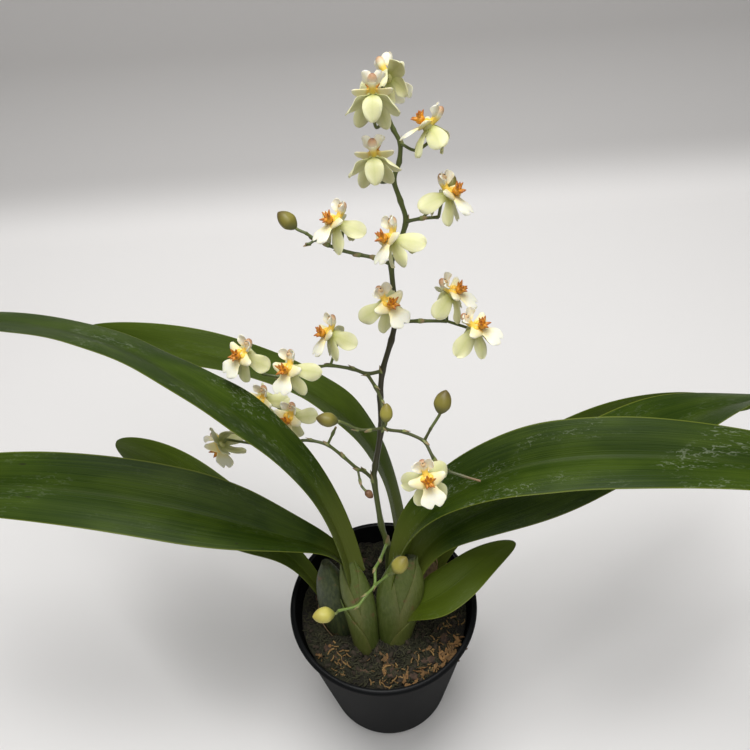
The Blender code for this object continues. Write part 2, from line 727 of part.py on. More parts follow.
def bloom_meshes(name, spec, rng):
    """Pieces of one bloom in its own axes, placed on the plant."""
    frame = bloom_frame(spec)

    def blade(*args, **more):
        return mesh_from_rings(name, blade_rings(*args, **more), frame)

    def vary(amount):
        return rng.uniform(-amount, amount)

    pieces = [ball_mesh(name, (0, 0, -0.3),
                        (CORE_RADIUS,) * 3, 3, 6, frame)]
    column = tube_rings([(0, 0.2, 0.4), (0, 0.6, 2.6),
                         (0, 1.4, 4.7), (0, 2.9, 5.7)],
                        [1.1, 1.1, 1.7, 0.7], 5)
    pieces.append(mesh_from_rings(name, column, frame))
    pieces.append(blade((0, -0.7, 0.7), (vary(0.06), -0.6, 0.8),
                        (0, -0.45, -1.0), 8.2, 6.0, TEPAL))
    for hand in (-1, 1):
        pieces.append(blade((hand * 0.9, -0.6, 0.1),
                            (hand * 0.84, -0.45 + vary(0.1),
                             0.22 + vary(0.12)),
                            (0, -0.32 + vary(0.12), -0.05),
                            8.2, 5.8, TEPAL))
        pieces.append(blade((hand * 0.7, -0.5, -1.1),
                            (hand * 0.5, -0.35 + vary(0.1), -0.8),
                            (0, -0.25 + vary(0.1), 0.0),
                            8.0, 4.9, SEPAL))
        pieces.append(blade((hand * 0.9, 0.9, -0.7),
                            (hand * 0.96, 0.28 + vary(0.12), 0.05),
                            (0, -0.12, 0.0), 5.4, 3.4, LOBE))
        pieces.append(blade((hand * 0.6, 1.4, 3.9),
                            (hand * 0.75, 0.62, 0.2),
                            (0, 0.1, 0.05), 3.8, 3.9, WING))
    lip = []
    for place, half, back in ((0.0, 1.6, 0.0), (0.34, 1.4, 0.0),
                              (0.68, 3.5, 0.0), (1.0, 2.7, 1.1)):
        y = 0.9 + 2.4 * place - 1.6 * place * place
        z = -1.3 - 8.2 * place
        lip.append([(-half, y + 0.35, z), (0, y + 0.55, z + back),
                    (half, y + 0.35, z), (half, y - 0.35, z),
                    (0, y - 0.15, z + back), (-half, y - 0.35, z)])
    pieces.append(mesh_from_rings(name, lip, frame))
    return pieces


def crest_meshes(name, spec):
    """Orange crest: a knob with short fingers, just clear of the lip."""
    frame = bloom_frame(spec)
    pieces = [ball_mesh(name, CREST_CENTRE, (1.8, 1.35, 1.6),
                        3, 6, frame)]
    for turn, lean, reach in ((90, 0.75, 3.0), (18, 0.70, 3.2),
                              (162, 0.70, 3.2), (-54, 0.85, 2.9),
                              (234, 0.85, 2.9)):
        angle = math.radians(turn)
        aim = unit((lean * math.cos(angle), 0.62, lean * math.sin(angle)))
        root = np.array(CREST_CENTRE) + 0.4 * aim
        pieces.append(mesh_from_rings(name, tube_rings(
            [root, root + aim * (reach - 0.4)], [0.8, 0.35], 3), frame))
    return pieces


def build_blooms():
    """All blooms and their crests."""
    rng = random.Random(7)
    for key, spec in BLOOMS.items():
        combine("bloom_" + key, bloom_meshes("bloom_" + key, spec, rng),
                "bloom")
        combine("crest_" + key, crest_meshes("crest_" + key, spec),
                "crest")


def bud_frame(root, tip):
    """Axes of a bud with +Z from its root to its tip."""
    along = Vector(tip) - Vector(root)
    turn = along.to_track_quat("Z", "X").to_matrix().to_4x4()
    return Matrix.Translation(root) @ turn, along.length


def build_buds():
    """Plump buds on their pedicels, one of them dried."""
    for name, (root, tip, width, _, key) in BUDS.items():
        frame, length = bud_frame(root, tip)
        rings = [(0.0, 0.16), (0.12, 0.30), (0.36, 0.50), (0.66, 0.44),
                 (0.88, 0.24), (1.0, 0.08)]
        sections = tube_rings([(0, 0, length * p) for p, _ in rings],
                              [width * r for _, r in rings], 8)
        add_object(name, mesh_from_rings(name, sections, frame), key)


def pedicel_to_bloom(spec):
    """Line from a stem node round the tepals to a bloom's back."""
    frame = bloom_frame(spec)
    end = frame @ Vector((0, -(CORE_RADIUS - 0.1), -0.3))
    back = frame @ Vector((0, -3.6, -0.3))
    return [Vector(spec[4]), frame @ Vector(spec[5]), back, end]


def build_flower_stem():
    """The branched stem with every pedicel, as one body."""
    pieces = []
    for points, thick, thin in STEM_RUNS.values():
        count = len(points)
        radii = [thick + (thin - thick) * i / (count - 1)
                 for i in range(count)]
        pieces.append(mesh_from_rings("run", tube_rings(
            points, radii, 5 if thick > 1 else 4)))
    for spec in BLOOMS.values():
        line = pedicel_to_bloom(spec)
        pieces.append(mesh_from_rings(
            "pedicel", tube_rings(line, [PEDICEL_RADIUS] * 4, 4)))
    for root, tip, _, node, _ in BUDS.values():
        start = Vector(node)
        end = Vector(root)
        away = (Vector(tip) - end).normalized()
        end = end - away * GAP
        pieces.append(mesh_from_rings("pedicel", tube_rings(
            [start, end - away * 0.8, end],
            [PEDICEL_RADIUS] * 3, 4)))
    combine("flower_stem", pieces, "stem")


def main():
    """Clear the scene and build the plant in its pot."""
    for obj in list(bpy.data.objects):
        bpy.data.objects.remove(obj)
    build_pot()
    build_medium()
    build_growths()
    build_flower_stem()
    build_blooms()
    build_buds()


main()
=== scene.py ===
"""Dresses the potted oncidium: pot, moss bed, sheathed bulbs, strap leaves, stem and blooms.

Design values are millimetres in the frame of the CAD model: the origin is the centre of
the pot's underside, +Z is up and the plant is seen from -Y.
"""

import json
import logging
import math
import random
from dataclasses import dataclass, field, replace
from enum import Enum

import bpy
import numpy as np
from mathutils import Matrix, Vector, noise
from numpy.typing import ArrayLike

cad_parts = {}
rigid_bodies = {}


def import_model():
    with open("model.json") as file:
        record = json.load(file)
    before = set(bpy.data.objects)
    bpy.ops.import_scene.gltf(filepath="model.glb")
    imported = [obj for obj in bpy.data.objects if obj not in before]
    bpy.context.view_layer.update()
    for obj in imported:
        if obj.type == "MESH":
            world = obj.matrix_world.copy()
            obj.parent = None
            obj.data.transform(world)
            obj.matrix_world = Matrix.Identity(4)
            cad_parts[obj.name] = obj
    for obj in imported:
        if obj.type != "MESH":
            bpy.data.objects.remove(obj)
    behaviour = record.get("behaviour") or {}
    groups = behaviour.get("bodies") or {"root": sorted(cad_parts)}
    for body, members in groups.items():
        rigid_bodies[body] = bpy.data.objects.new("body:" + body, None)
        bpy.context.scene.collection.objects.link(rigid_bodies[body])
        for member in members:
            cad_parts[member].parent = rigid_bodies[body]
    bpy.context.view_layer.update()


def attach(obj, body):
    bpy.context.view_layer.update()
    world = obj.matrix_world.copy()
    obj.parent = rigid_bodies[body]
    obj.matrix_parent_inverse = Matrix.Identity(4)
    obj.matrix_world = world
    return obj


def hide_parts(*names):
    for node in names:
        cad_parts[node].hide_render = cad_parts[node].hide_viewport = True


LOG = logging.getLogger("orchid")
MM = 0.001
# Names of mesh attributes
PAINT = "paint"
WIDTH = "width"
SHADE = "shade"
# Angle left open at an egg's poles, and a direction that no tube follows
POLE_GAP = 0.02
FIRST_SIDE = (1.0, 0.13, 0.07)
BLOOM_SEED = 7
Point = tuple[float, float, float]
Colour = tuple[float, float, float]


class Slot(Enum):
    """The record's material slots."""

    POT = "pot"
    MEDIUM = "medium"
    LEAVES = "leaves"
    STEM = "flower_stem"
    BLOOM = "bloom"
    CREST = "crest"
    BUD = "bud"
    DRIED = "dried_bud"


# Small sums on numbers, points and colours


def unit(vector: ArrayLike) -> np.ndarray:
    """The vector scaled to length one."""
    vector = np.asarray(vector, float)
    return vector / np.linalg.norm(vector)


def ease(value: ArrayLike) -> np.ndarray:
    """Smooth ramp from 0 to 1, level outside."""
    value = np.clip(value, 0.0, 1.0)
    return value * value * (3.0 - 2.0 * value)


def around(count: int) -> np.ndarray:
    """Angles evenly spaced round a circle, the first at 0."""
    return np.linspace(0, math.tau, count, endpoint=False)


def blank(rows: int, columns: int) -> tuple[np.ndarray, np.ndarray]:
    """An empty grid of points and an empty grid of colours of the same size."""
    return np.zeros((rows, columns, 3)), np.zeros((rows, columns, 3))


def blend(a: ArrayLike, b: ArrayLike, share: ArrayLike) -> np.ndarray:
    """Colour between a and b, for one share or an array of shares.

    Args:
        a: colour at share 0.
        b: colour at share 1.
        share: number or array.

    Returns:
        Colours with three values in the last place.
    """
    share = np.asarray(share, float)[..., None]
    return np.asarray(a, float) * (1 - share) + np.asarray(b, float) * share


def spline_weights(count: int, places: np.ndarray) -> np.ndarray:
    """Weights of a clamped cubic B-spline with evenly spaced knots.

    Args:
        count: number of control points.
        places: places along the line from 0 to 1.

    Returns:
        One row of weights for each place.
    """
    degree = 3
    knots = [0.0] * degree
    knots += list(np.linspace(0.0, 1.0, count - degree + 1))
    knots += [1.0] * degree
    places = np.clip(places, 0.0, 1.0 - 1e-9)
    rows = [((places >= a) & (places < b)).astype(float)
            for a, b in zip(knots[:-1], knots[1:])]
    for order in range(1, degree + 1):
        raised = []
        for i in range(len(rows) - 1):
            total = np.zeros_like(places)
            rise = knots[i + order] - knots[i]
            fall = knots[i + order + 1] - knots[i + 1]
            if rise > 0:
                total = total + (places - knots[i]) / rise * rows[i]
            if fall > 0:
                share = (knots[i + order + 1] - places) / fall
                total = total + share * rows[i + 1]
            raised.append(total)
        rows = raised
    return np.array(rows).T


def through(points: ArrayLike, count: int) -> np.ndarray:
    """A smooth line that passes through every point.

    Args:
        points: points, or rows of any values, one for each knot.
        count: how many steps lie between two neighbours.

    Returns:
        The finer rows, first and last point included.
    """
    knots = np.asarray(points, float)
    if len(knots) < 3:
        shares = np.linspace(0.0, 1.0, count + 1)[:, None]
        return knots[0] * (1 - shares) + knots[-1] * shares
    first = 2 * knots[0] - knots[1]
    last = 2 * knots[-1] - knots[-2]
    wide = np.vstack([first, knots, last])
    rows = []
    for i in range(len(knots) - 1):
        a, b, c, d = wide[i:i + 4]
        for step in range(count):
            t = step / count
            rows.append(0.5 * (2 * b + (c - a) * t
                               + (2 * a - 5 * b + 4 * c - d) * t * t
                               + (3 * b - 3 * c + d - a) * t ** 3))
    rows.append(knots[-1])
    return np.array(rows)


# Meshes


@dataclass
class Draft:
    """Gathers thin sheets, lofts and balls into one painted mesh."""

    frame: Matrix | None = None
    points: list = field(default_factory=list)
    quads: list = field(default_factory=list)
    tris: list = field(default_factory=list)
    paints: list = field(default_factory=list)
    count: int = 0

    def add(self, points: ArrayLike, quads: ArrayLike, tris: ArrayLike,
            paint: ArrayLike) -> None:
        """Add one closed surface and turn it outwards.

        Args:
            points: its points.
            quads: its four-sided faces.
            tris: its three-sided faces.
            paint: one colour, or a colour with a fourth value, for each point or for all.
        """
        points = np.asarray(points, float).reshape(-1, 3)
        quads = np.asarray(quads, int).reshape(-1, 4)
        tris = np.asarray(tris, int).reshape(-1, 3)
        halves = np.vstack([quads[:, [0, 1, 2]], quads[:, [0, 2, 3]], tris])
        a, b, c = (points[halves[:, k]] for k in range(3))
        if np.einsum("ij,ij->", a, np.cross(b, c)) < 0:
            quads = quads[:, ::-1]
            tris = tris[:, ::-1]
        if self.frame is not None:
            turn = np.array(self.frame.to_3x3())
            points = points @ turn.T + np.array(self.frame.translation)
        paint = np.asarray(paint, float)
        if paint.ndim == 1:
            paint = np.tile(paint, (len(points), 1))
        if paint.shape[1] == 3:
            paint = np.hstack([paint, np.ones((len(paint), 1))])
        self.points.append(points)
        self.quads.append(quads + self.count)
        self.tris.append(tris + self.count)
        self.paints.append(paint)
        self.count += len(points)

    def sheet(self, grid: np.ndarray, thick: ArrayLike, paint: np.ndarray,
              rim: float = 0.35) -> None:
        """Add a thin slab with a given middle surface.

        The paint gets a fourth value: 1 on the side towards the cross product of the
        directions along and across, 0 on the other side.

        Args:
            grid: middle surface, rows along it and columns across it.
            thick: thickness, one value or one for each point.
            paint: colour for each point of the grid, three or four values.
            rim: share of the thickness left at the edge.
        """
        rows, columns = grid.shape[:2]
        along = np.gradient(grid, axis=0)
        across = np.gradient(grid, axis=1)
        normal = np.cross(along, across)
        size = np.linalg.norm(normal, axis=2, keepdims=True)
        normal = normal / np.maximum(size, 1e-9)
        half = np.broadcast_to(np.asarray(thick, float) * 0.5, (rows, columns)).copy()
        half[0, :] *= rim
        half[-1, :] *= rim
        half[1:-1, 0] *= rim
        half[1:-1, -1] *= rim
        lift = half[..., None] * normal
        top = (grid + lift).reshape(-1, 3)
        low = (grid - lift).reshape(-1, 3)
        index = np.arange(rows * columns).reshape(rows, columns)
        a = index[:-1, :-1].ravel()
        b = index[1:, :-1].ravel()
        c = index[1:, 1:].ravel()
        d = index[:-1, 1:].ravel()
        shift = rows * columns
        loop = np.concatenate([index[:, 0], index[-1, 1:], index[-2::-1, -1],
                               index[0, -2:0:-1]])
        after = np.roll(loop, -1)
        quads = np.vstack([np.stack([a, b, c, d], 1),
                           np.stack([d, c, b, a], 1) + shift,
                           np.stack([loop, loop + shift, after + shift, after], 1)])
        tint = np.asarray(paint, float).reshape(shift, -1)
        if tint.shape[1] == 3:
            tint = np.hstack([tint, np.ones((shift, 1))])
        under = tint.copy()
        under[:, 3] = 0.0
        self.add(np.vstack([top, low]), quads, [], np.vstack([tint, under]))

    def loft(self, rings: ArrayLike, paint: ArrayLike) -> None:
        """Add a closed body from rings of equal size.

        Args:
            rings: array of rings.
            paint: one colour, or one for each ring.
        """
        rings = np.asarray(rings, float)
        count, size = rings.shape[:2]
        points = np.vstack([rings.reshape(-1, 3), rings[0].mean(0), rings[-1].mean(0)])
        index = np.arange(count * size).reshape(count, size)
        after = np.roll(index, -1, axis=1)
        quads = np.stack([index[:-1], after[:-1], after[1:], index[1:]], 2).reshape(-1, 4)
        first = np.full(size, count * size)
        tris = np.vstack([np.stack([after[0], index[0], first], 1),
                          np.stack([index[-1], after[-1], first + 1], 1)])
        paint = np.asarray(paint, float)
        if paint.ndim == 2 and len(paint) == count:
            ends = paint[[0, -1]]
            paint = np.vstack([np.repeat(paint, size, axis=0), ends])
        self.add(points, quads, tris, paint)

    def ball(self, centre: Point, radii: Point, paint: ArrayLike, levels: int = 8,
             sides: int = 14, turn: Matrix | None = None) -> None:
        """Add an egg.

        Args:
            centre: its middle.
            radii: half its size along each axis.
            paint: one colour, or one for each level.
            levels: rings between the poles.
            sides: points in a ring.
            turn: rotation about its middle.
        """
        tilt = np.linspace(POLE_GAP, math.pi - POLE_GAP, levels)[:, None]
        angle = around(sides)[None, :]
        ring = np.stack([np.sin(tilt) * np.cos(angle) * radii[0],
                         np.sin(tilt) * np.sin(angle) * radii[1],
                         -np.cos(tilt) * radii[2] + 0 * angle], 2)
        if turn is not None:
            ring = ring @ np.array(turn.to_3x3()).T
        self.loft(ring + np.asarray(centre, float), paint)

    def tube(self, points: ArrayLike, radii: ArrayLike, paint: ArrayLike,
             sides: int = 8, flat: float = 1.0) -> None:
        """Add a tube along a line.

        Args:
            points: the line.
            radii: one radius for each point.
            paint: one colour, or one for each point.
            sides: points in a ring.
            flat: share of the radius kept in the second direction.
        """
        points = np.asarray(points, float)
        tangent = np.gradient(points, axis=0)
        side = np.array(FIRST_SIDE)
        rings = []
        angle = around(sides)[:, None]
        for centre, along, radius in zip(points, tangent, radii):
            along = unit(along)
            side = unit(side - (side @ along) * along)
            other = np.cross(along, side)
            rings.append(centre + radius * (np.cos(angle) * side
                                            + flat * np.sin(angle) * other))
        self.loft(np.array(rings), paint)

    def finish(self, name: str, material: bpy.types.Material,
               crease: float = 50.0) -> bpy.types.Object:
        """Make the object.

        Args:
            name: name of the object.
            material: its finish.
            crease: angle in degrees past which an edge stays sharp.

        Returns:
            The new object, at the origin.
        """
        points = np.vstack(self.points) * MM
        faces = [tuple(f) for part in self.quads for f in part.tolist()]
        faces += [tuple(f) for part in self.tris for f in part.tolist()]
        mesh = bpy.data.meshes.new(name)
        mesh.from_pydata(points.tolist(), [], faces)
        layer = mesh.attributes.new(PAINT, "FLOAT_COLOR", "POINT")
        layer.data.foreach_set("color", np.vstack(self.paints).astype(np.float32).ravel())
        mesh.materials.append(material)
        mesh.shade_smooth()
        mesh.set_sharp_from_angle(angle=math.radians(crease))
        return place(name, mesh)


def place(name: str, data: bpy.types.ID) -> bpy.types.Object:
    """Link a new object that holds a mesh, a light or a camera.

    Args:
        name: name of the object.
        data: what it holds.

    Returns:
        The object, at the origin.
    """
    obj = bpy.data.objects.new(name, data)
    bpy.context.scene.collection.objects.link(obj)
    return obj


def settle(obj: bpy.types.Object, slot: Slot, *nodes: str) -> None:
    """Fix a piece to the frame.

    Args:
        obj: the finished piece.
        slot: the record's material slot for the piece; not used.
        nodes: CAD nodes that it stands for.
    """
    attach(obj, "root")
    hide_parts(*nodes)
    faces = sum(len(p.vertices) - 2 for p in obj.data.polygons)
    LOG.info("%s stands for %s with %d triangles", obj.name, ", ".join(nodes), faces)


# Geometry node trees


def fill(tree: bpy.types.NodeTree, made: bpy.types.Node, inputs: dict | None) -> None:
    """Link or set the inputs of a node.

    Args:
        tree: the tree that it is in.
        made: the node.
        inputs: value, colour or socket for each input, by name or number.
    """
    for key, value in (inputs or {}).items():
        if isinstance(value, bpy.types.NodeSocket):
            tree.links.new(value, made.inputs[key])
        elif made.inputs[key].type == "RGBA" and len(value) == 3:
            made.inputs[key].default_value = (*value, 1.0)
        else:
            made.inputs[key].default_value = value


class Growing:
    """A Geometry Nodes tree with named inputs for its sizes."""

    def __init__(self, name: str, inputs: dict[str, int | float]) -> None:
        """Start a tree.

        Args:
            name: name of the tree.
            inputs: value of each named input, whole or decimal.
        """
        self.tree = bpy.data.node_groups.new(name, "GeometryNodeTree")
        face = self.tree.interface
        face.new_socket("Geometry", in_out="OUTPUT", socket_type="NodeSocketGeometry")
        face.new_socket("Geometry", in_out="INPUT", socket_type="NodeSocketGeometry")
        self.values = {}
        for title, value in inputs.items():
            kind = "NodeSocketInt" if isinstance(value, int) else "NodeSocketFloat"
            made = face.new_socket(title, in_out="INPUT", socket_type=kind)
            self.values[made.identifier] = value
        self.start = self.tree.nodes.new("NodeGroupInput")
        self.end = self.tree.nodes.new("NodeGroupOutput")

    def node(self, kind: str, settings: dict | None = None,
             inputs: dict | None = None) -> bpy.types.Node:
        """Add a node.

        Args:
            kind: its type.
            settings: properties, set first.
            inputs: value or socket for each input, by name or number.

        Returns:
            The node.
        """
        made = self.tree.nodes.new(kind)
        for key, value in (settings or {}).items():
            setattr(made, key, value)
        fill(self.tree, made, inputs)
        return made

    def named(self, title: str) -> bpy.types.NodeSocket:
        """The input with this name, inside the tree."""
        return self.start.outputs[title]

    def close(self, geometry: bpy.types.NodeSocket,
              material: bpy.types.Material) -> None:
        """End the tree with real geometry and its material.

        Args:
            geometry: what the tree has made.
            material: its finish.
        """
        real = self.node("GeometryNodeRealizeInstances", None, {0: geometry})
        dressed = self.node("GeometryNodeSetMaterial", None,
                            {0: real.outputs[0], "Material": material})
        self.tree.links.new(dressed.outputs[0], self.end.inputs[0])

    def grow(self, name: str, seed_mesh: bpy.types.Mesh) -> bpy.types.Object:
        """Run the tree on a mesh and keep the result as a plain object.

        Args:
            name: name of the object.
            seed_mesh: what the tree starts from.

        Returns:
            The object, without its modifier.
        """
        obj = place(name, seed_mesh)
        modifier = obj.modifiers.new("grow", "NODES")
        modifier.node_group = self.tree
        for identifier, value in self.values.items():
            modifier[identifier] = value
        graph = bpy.context.evaluated_depsgraph_get()
        mesh = bpy.data.meshes.new_from_object(obj.evaluated_get(graph), depsgraph=graph)
        obj.modifiers.remove(modifier)
        obj.data = mesh
        mesh.name = name
        return obj


# Materials


class Term:
    """An output of a material's node, with arithmetic written on it."""

    def __init__(self, shader: "Shader", socket: bpy.types.NodeSocket) -> None:
        """Hold a socket of the shader."""
        self.shader = shader
        self.socket = socket

    def maths(self, operation: str, *values: "Term | float") -> "Term":
        """Add a Math node.

        Args:
            operation: its operation.
            values: numbers or terms, in order.

        Returns:
            Its result.
        """
        return self.shader.node("ShaderNodeMath", {"operation": operation},
                                dict(enumerate(values)))

    def __add__(self, other: "Term | float") -> "Term":
        """Sum."""
        return self.maths("ADD", self, other)

    def __radd__(self, other: "Term | float") -> "Term":
        """Sum, other way round."""
        return self.maths("ADD", other, self)

    def __sub__(self, other: "Term | float") -> "Term":
        """Difference."""
        return self.maths("SUBTRACT", self, other)

    def __rsub__(self, other: "Term | float") -> "Term":
        """Difference, other way round."""
        return self.maths("SUBTRACT", other, self)

    def __mul__(self, other: "Term | float") -> "Term":
        """Product."""
        return self.maths("MULTIPLY", self, other)

    def __rmul__(self, other: "Term | float") -> "Term":
        """Product, other way round."""
        return self.maths("MULTIPLY", other, self)

    def __abs__(self) -> "Term":
        """Size without sign."""
        return self.maths("ABSOLUTE", self)

    def rise(self, low: float, high: float) -> "Term":
        """Smooth ramp from 0 at low to 1 at high."""
        return self.shader.node("ShaderNodeMapRange", {"interpolation_type": "SMOOTHSTEP"},
                                {"Value": self, "From Min": low, "From Max": high})


class Shader:
    """A material's node tree, written as expressions."""

    def __init__(self, name: str, **constants: float | Colour) -> None:
        """Start a material.

        Args:
            name: its name.
            constants: values for sockets of the Principled shader, with _ for a space.
        """
        self.material = bpy.data.materials.new(name)
        self.material.use_nodes = True
        self.tree = self.material.node_tree
        self.surface = self.tree.nodes["Principled BSDF"]
        for key, value in constants.items():
            self.surface.inputs[key.replace("_", " ")].default_value = value

    def node(self, kind: str, settings: dict | None = None, inputs: dict | None = None,
             output: int | str = 0) -> Term:
        """Add a node.

        Args:
            kind: its type.
            settings: properties, set first; "stops" holds a ramp's places and colours.
            inputs: number, colour, socket or term for each input, by name or number.
            output: which output is wanted.

        Returns:
            The output as a term.
        """
        made = self.tree.nodes.new(kind)
        for key, value in (settings or {}).items():
            if key == "stops":
                self._stops(made.color_ramp, value)
            else:
                setattr(made, key, value)
        fill(self.tree, made, {key: value.socket if isinstance(value, Term) else value
                               for key, value in (inputs or {}).items()})
        return Term(self, made.outputs[output])

    @staticmethod
    def _stops(ramp: bpy.types.ColorRamp, stops: list[tuple[float, Colour]]) -> None:
        """Set the stops of a ramp."""
        while len(ramp.elements) < len(stops):
            ramp.elements.new(0.5)
        for element, (spot, colour) in zip(ramp.elements, stops):
            element.position = spot
            element.color = (*colour, 1.0)

    def place(self) -> Term:
        """Object coordinates."""
        return self.node("ShaderNodeTexCoord", output="Object")

    def painted(self) -> Term:
        """The painted colour of the mesh."""
        return self.node("ShaderNodeAttribute", {"attribute_name": PAINT}, output="Color")

    def side(self) -> Term:
        """The paint's fourth value: 1 on one side of a sheet, a leaf's underside, else 0."""
        return self.node("ShaderNodeAttribute", {"attribute_name": PAINT}, output="Alpha")

    def parts(self, vector: Term) -> tuple[Term, Term, Term]:
        """The three numbers of a vector.

        Args:
            vector: a vector or colour.

        Returns:
            Its first, second and third number.
        """
        first = self.node("ShaderNodeSeparateXYZ", None, {0: vector})
        node = first.socket.node
        return first, Term(self, node.outputs[1]), Term(self, node.outputs[2])

    def vector(self, x: Term | float, y: Term | float, z: Term | float) -> Term:
        """A vector from three numbers or terms."""
        return self.node("ShaderNodeCombineXYZ", None, {0: x, 1: y, 2: z})

    def cloud(self, where: Term, scale: float, detail: float = 2.0,
              rough: float = 0.5) -> Term:
        """Noise from 0 to 1."""
        return self.node("ShaderNodeTexNoise", None,
                         {"Vector": where, "Scale": scale, "Detail": detail,
                          "Roughness": rough})

    def cells(self, where: Term, scale: float) -> Term:
        """Distance to the nearest of scattered points."""
        return self.node("ShaderNodeTexVoronoi", None, {"Vector": where, "Scale": scale})

    def mix(self, share: Term | float, a: Term | Colour, b: Term | Colour,
            how: str = "MIX") -> Term:
        """A colour between two, or one laid over the other.

        Args:
            share: number or term from 0 to 1.
            a: first colour or term.
            b: second colour or term.
            how: blend mode.

        Returns:
            The mixed colour.
        """
        return self.node("ShaderNodeMix", {"data_type": "RGBA", "blend_type": how},
                         {0: share, 6: a, 7: b}, output=2)

    def feed(self, socket: str, term: Term) -> None:
        """Link a term to a socket of the surface."""
        self.tree.links.new(term.socket, self.surface.inputs[socket])

    def dress(self, colour: Term, height: Term, strength: float,
              depth: float) -> bpy.types.Material:
        """Finish the material with a colour and a relief.

        Args:
            colour: base colour.
            height: height of the relief.
            strength: how much of it shows.
            depth: its height in metres.

        Returns:
            The material.
        """
        self.feed("Base Color", colour)
        self.feed("Normal", self.node("ShaderNodeBump", None, {
            "Height": height, "Strength": strength, "Distance": depth}))
        return self.material


@dataclass(frozen=True)
class PotPlastic:
    """Smooth black plastic with a soft gloss."""

    colour: Colour = (0.0060, 0.0064, 0.0068)
    dusty: Colour = (0.0140, 0.0140, 0.0135)

    def make(self) -> bpy.types.Material:
        """Build the material.

        Returns:
            The material.
        """
        shader = Shader("pot_plastic", Roughness=0.3, Specular_IOR_Level=0.0,
                        Coat_Weight=0.14, Coat_Roughness=0.26)
        where = shader.place()
        dust = shader.cloud(where, 90.0, 5.0, 0.6).rise(0.52, 0.78)
        shader.feed("Base Color", shader.mix(dust * 0.5, self.colour, self.dusty))
        return shader.material


@dataclass(frozen=True)
class LeafSkin:
    """Satin green leaf with fine veins, a pale midrib with painted shade in its crease, and
    yellow-green edges.
    """

    name: str
    dark: Colour = (0.0170, 0.0360, 0.0020)
    light: Colour = (0.0500, 0.0830, 0.0060)
    rib: Colour = (0.0950, 0.1350, 0.0110)
    edge: Colour = (0.1500, 0.1800, 0.0200)
    base: Colour = (0.1000, 0.1250, 0.0180)
    under: Colour = (0.0620, 0.0930, 0.0080)
    sun: Colour = (0.085, 0.115, 0.0075)
    # groove: painted shade colour for the crease beside the midrib
    groove: Colour = (0.012, 0.024, 0.002)
    scratch: Colour = (0.40, 0.44, 0.33)
    spot: Colour = (0.020, 0.022, 0.008)
    scratched: float = 0.3
    spotted: float = 0.0
    sunny: float = 0.0

    def make(self) -> bpy.types.Material:
        """Build the material; the paint holds place along, place across and length.

        Returns:
            The material.
        """
        shader = Shader(self.name, Roughness=0.42, Specular_IOR_Level=0.12)
        run, across, length = shader.parts(shader.painted())
        far = run * length
        streak = shader.cloud(shader.vector(far * 2.0, across * 26.0, length), 1.0, 3.0)
        patch = shader.cloud(shader.vector(far * 3.2, across * 1.3, length), 1.0, 2.0)
        colour = shader.mix(streak.rise(0.30, 0.72) * 0.34 + patch.rise(0.35, 0.68) * 0.50,
                            self.dark, self.light)
        colour = shader.mix(self.sunny, colour, self.sun)
        off = abs(across)
        rib = 1.0 - off.rise(0.0, 0.045)
        second = 1.0 - abs(off - 0.5).rise(0.0, 0.03)
        colour = shader.mix(rib * 0.30 + second * 0.08, colour, self.rib)
        # Painted shade: a dark line along the crease either side of the midrib
        crease = 1.0 - abs(off - 0.012).rise(0.0, 0.016)
        colour = shader.mix(crease * 0.65, colour, self.groove)
        colour = shader.mix(off.rise(0.955, 1.0) * 0.8, colour, self.edge)
        colour = shader.mix(1.0 - run.rise(0.02, 0.20), colour, self.base)
        under = shader.side()
        colour = shader.mix(under * 0.55, colour, self.under)
        zone = shader.cloud(shader.vector(far * 3.0, across * 1.2, length + 4.0), 1.0, 1.0)
        tracks = shader.cloud(shader.vector(far * 16.0, across * 6.0, length), 1.0, 3.0, 0.6)
        tracks = 1.0 - abs(tracks - 0.5).rise(0.012, 0.035)
        gaps = shader.cloud(shader.vector(far * 30.0, across * 14.0, length), 1.0, 2.0)
        flecks = shader.cells(shader.vector(far * 55.0, across * 24.0, length), 1.0)
        flecks = 1.0 - flecks.rise(0.06, 0.24)
        marks = tracks * gaps.rise(0.42, 0.58) + flecks * 0.6
        marks = marks * zone.rise(0.46, 0.62) * (1.0 - under) * self.scratched
        colour = shader.mix(marks, colour, self.scratch)
        if self.spotted > 0.0:
            dots = shader.cells(shader.vector(far * 7.0, across * 2.4, length), 1.0)
            grain = shader.cloud(shader.vector(far * 30.0, across * 9.0, length), 1.0, 2.0)
            dark = 1.0 - (dots + grain * 0.12).rise(0.10, 0.17)
            colour = shader.mix(dark * self.spotted, colour, self.spot)
        shader.feed("Roughness", 0.38 + streak * 0.12 + marks * 0.15)
        fine = shader.cloud(shader.vector(far * 1.0, across * 46.0, length), 1.0, 1.0)
        return shader.dress(colour, fine * 0.6 + rib * 0.4, 0.35, 0.0006)


@dataclass(frozen=True)
class SheathSkin:
    """Ribbed leaf base, yellow-green, with dry brown marks; the paint holds its colour."""

    name: str = "sheath_skin"
    dry: Colour = (0.150, 0.072, 0.028)
    rib: Colour = (0.17, 0.19, 0.06)
    shade: Colour = (0.62, 0.50, 0.42)

    def make(self) -> bpy.types.Material:
        """Build the material.

        Returns:
            The material.
        """
        shader = Shader(self.name, Roughness=0.42, Subsurface_Weight=0.05,
                        Subsurface_Radius=(0.002, 0.003, 0.001))
        where = shader.place()
        x, y, z = shader.parts(where)
        ribs = shader.cloud(shader.vector(x * 900.0, y * 900.0, z * 45.0), 1.0, 2.0)
        tint = shader.mix(1.0, shader.painted(), self.shade, "MULTIPLY")
        colour = shader.mix(ribs.rise(0.35, 0.7) * 0.22, tint, self.rib)
        worn = shader.cloud(where, 170.0, 5.0, 0.62)
        colour = shader.mix(worn.rise(0.60, 0.70) * 0.7, colour, self.dry)
        shader.feed("Roughness", 0.38 + worn * 0.2)
        return shader.dress(colour, ribs, 0.5, 0.0006)


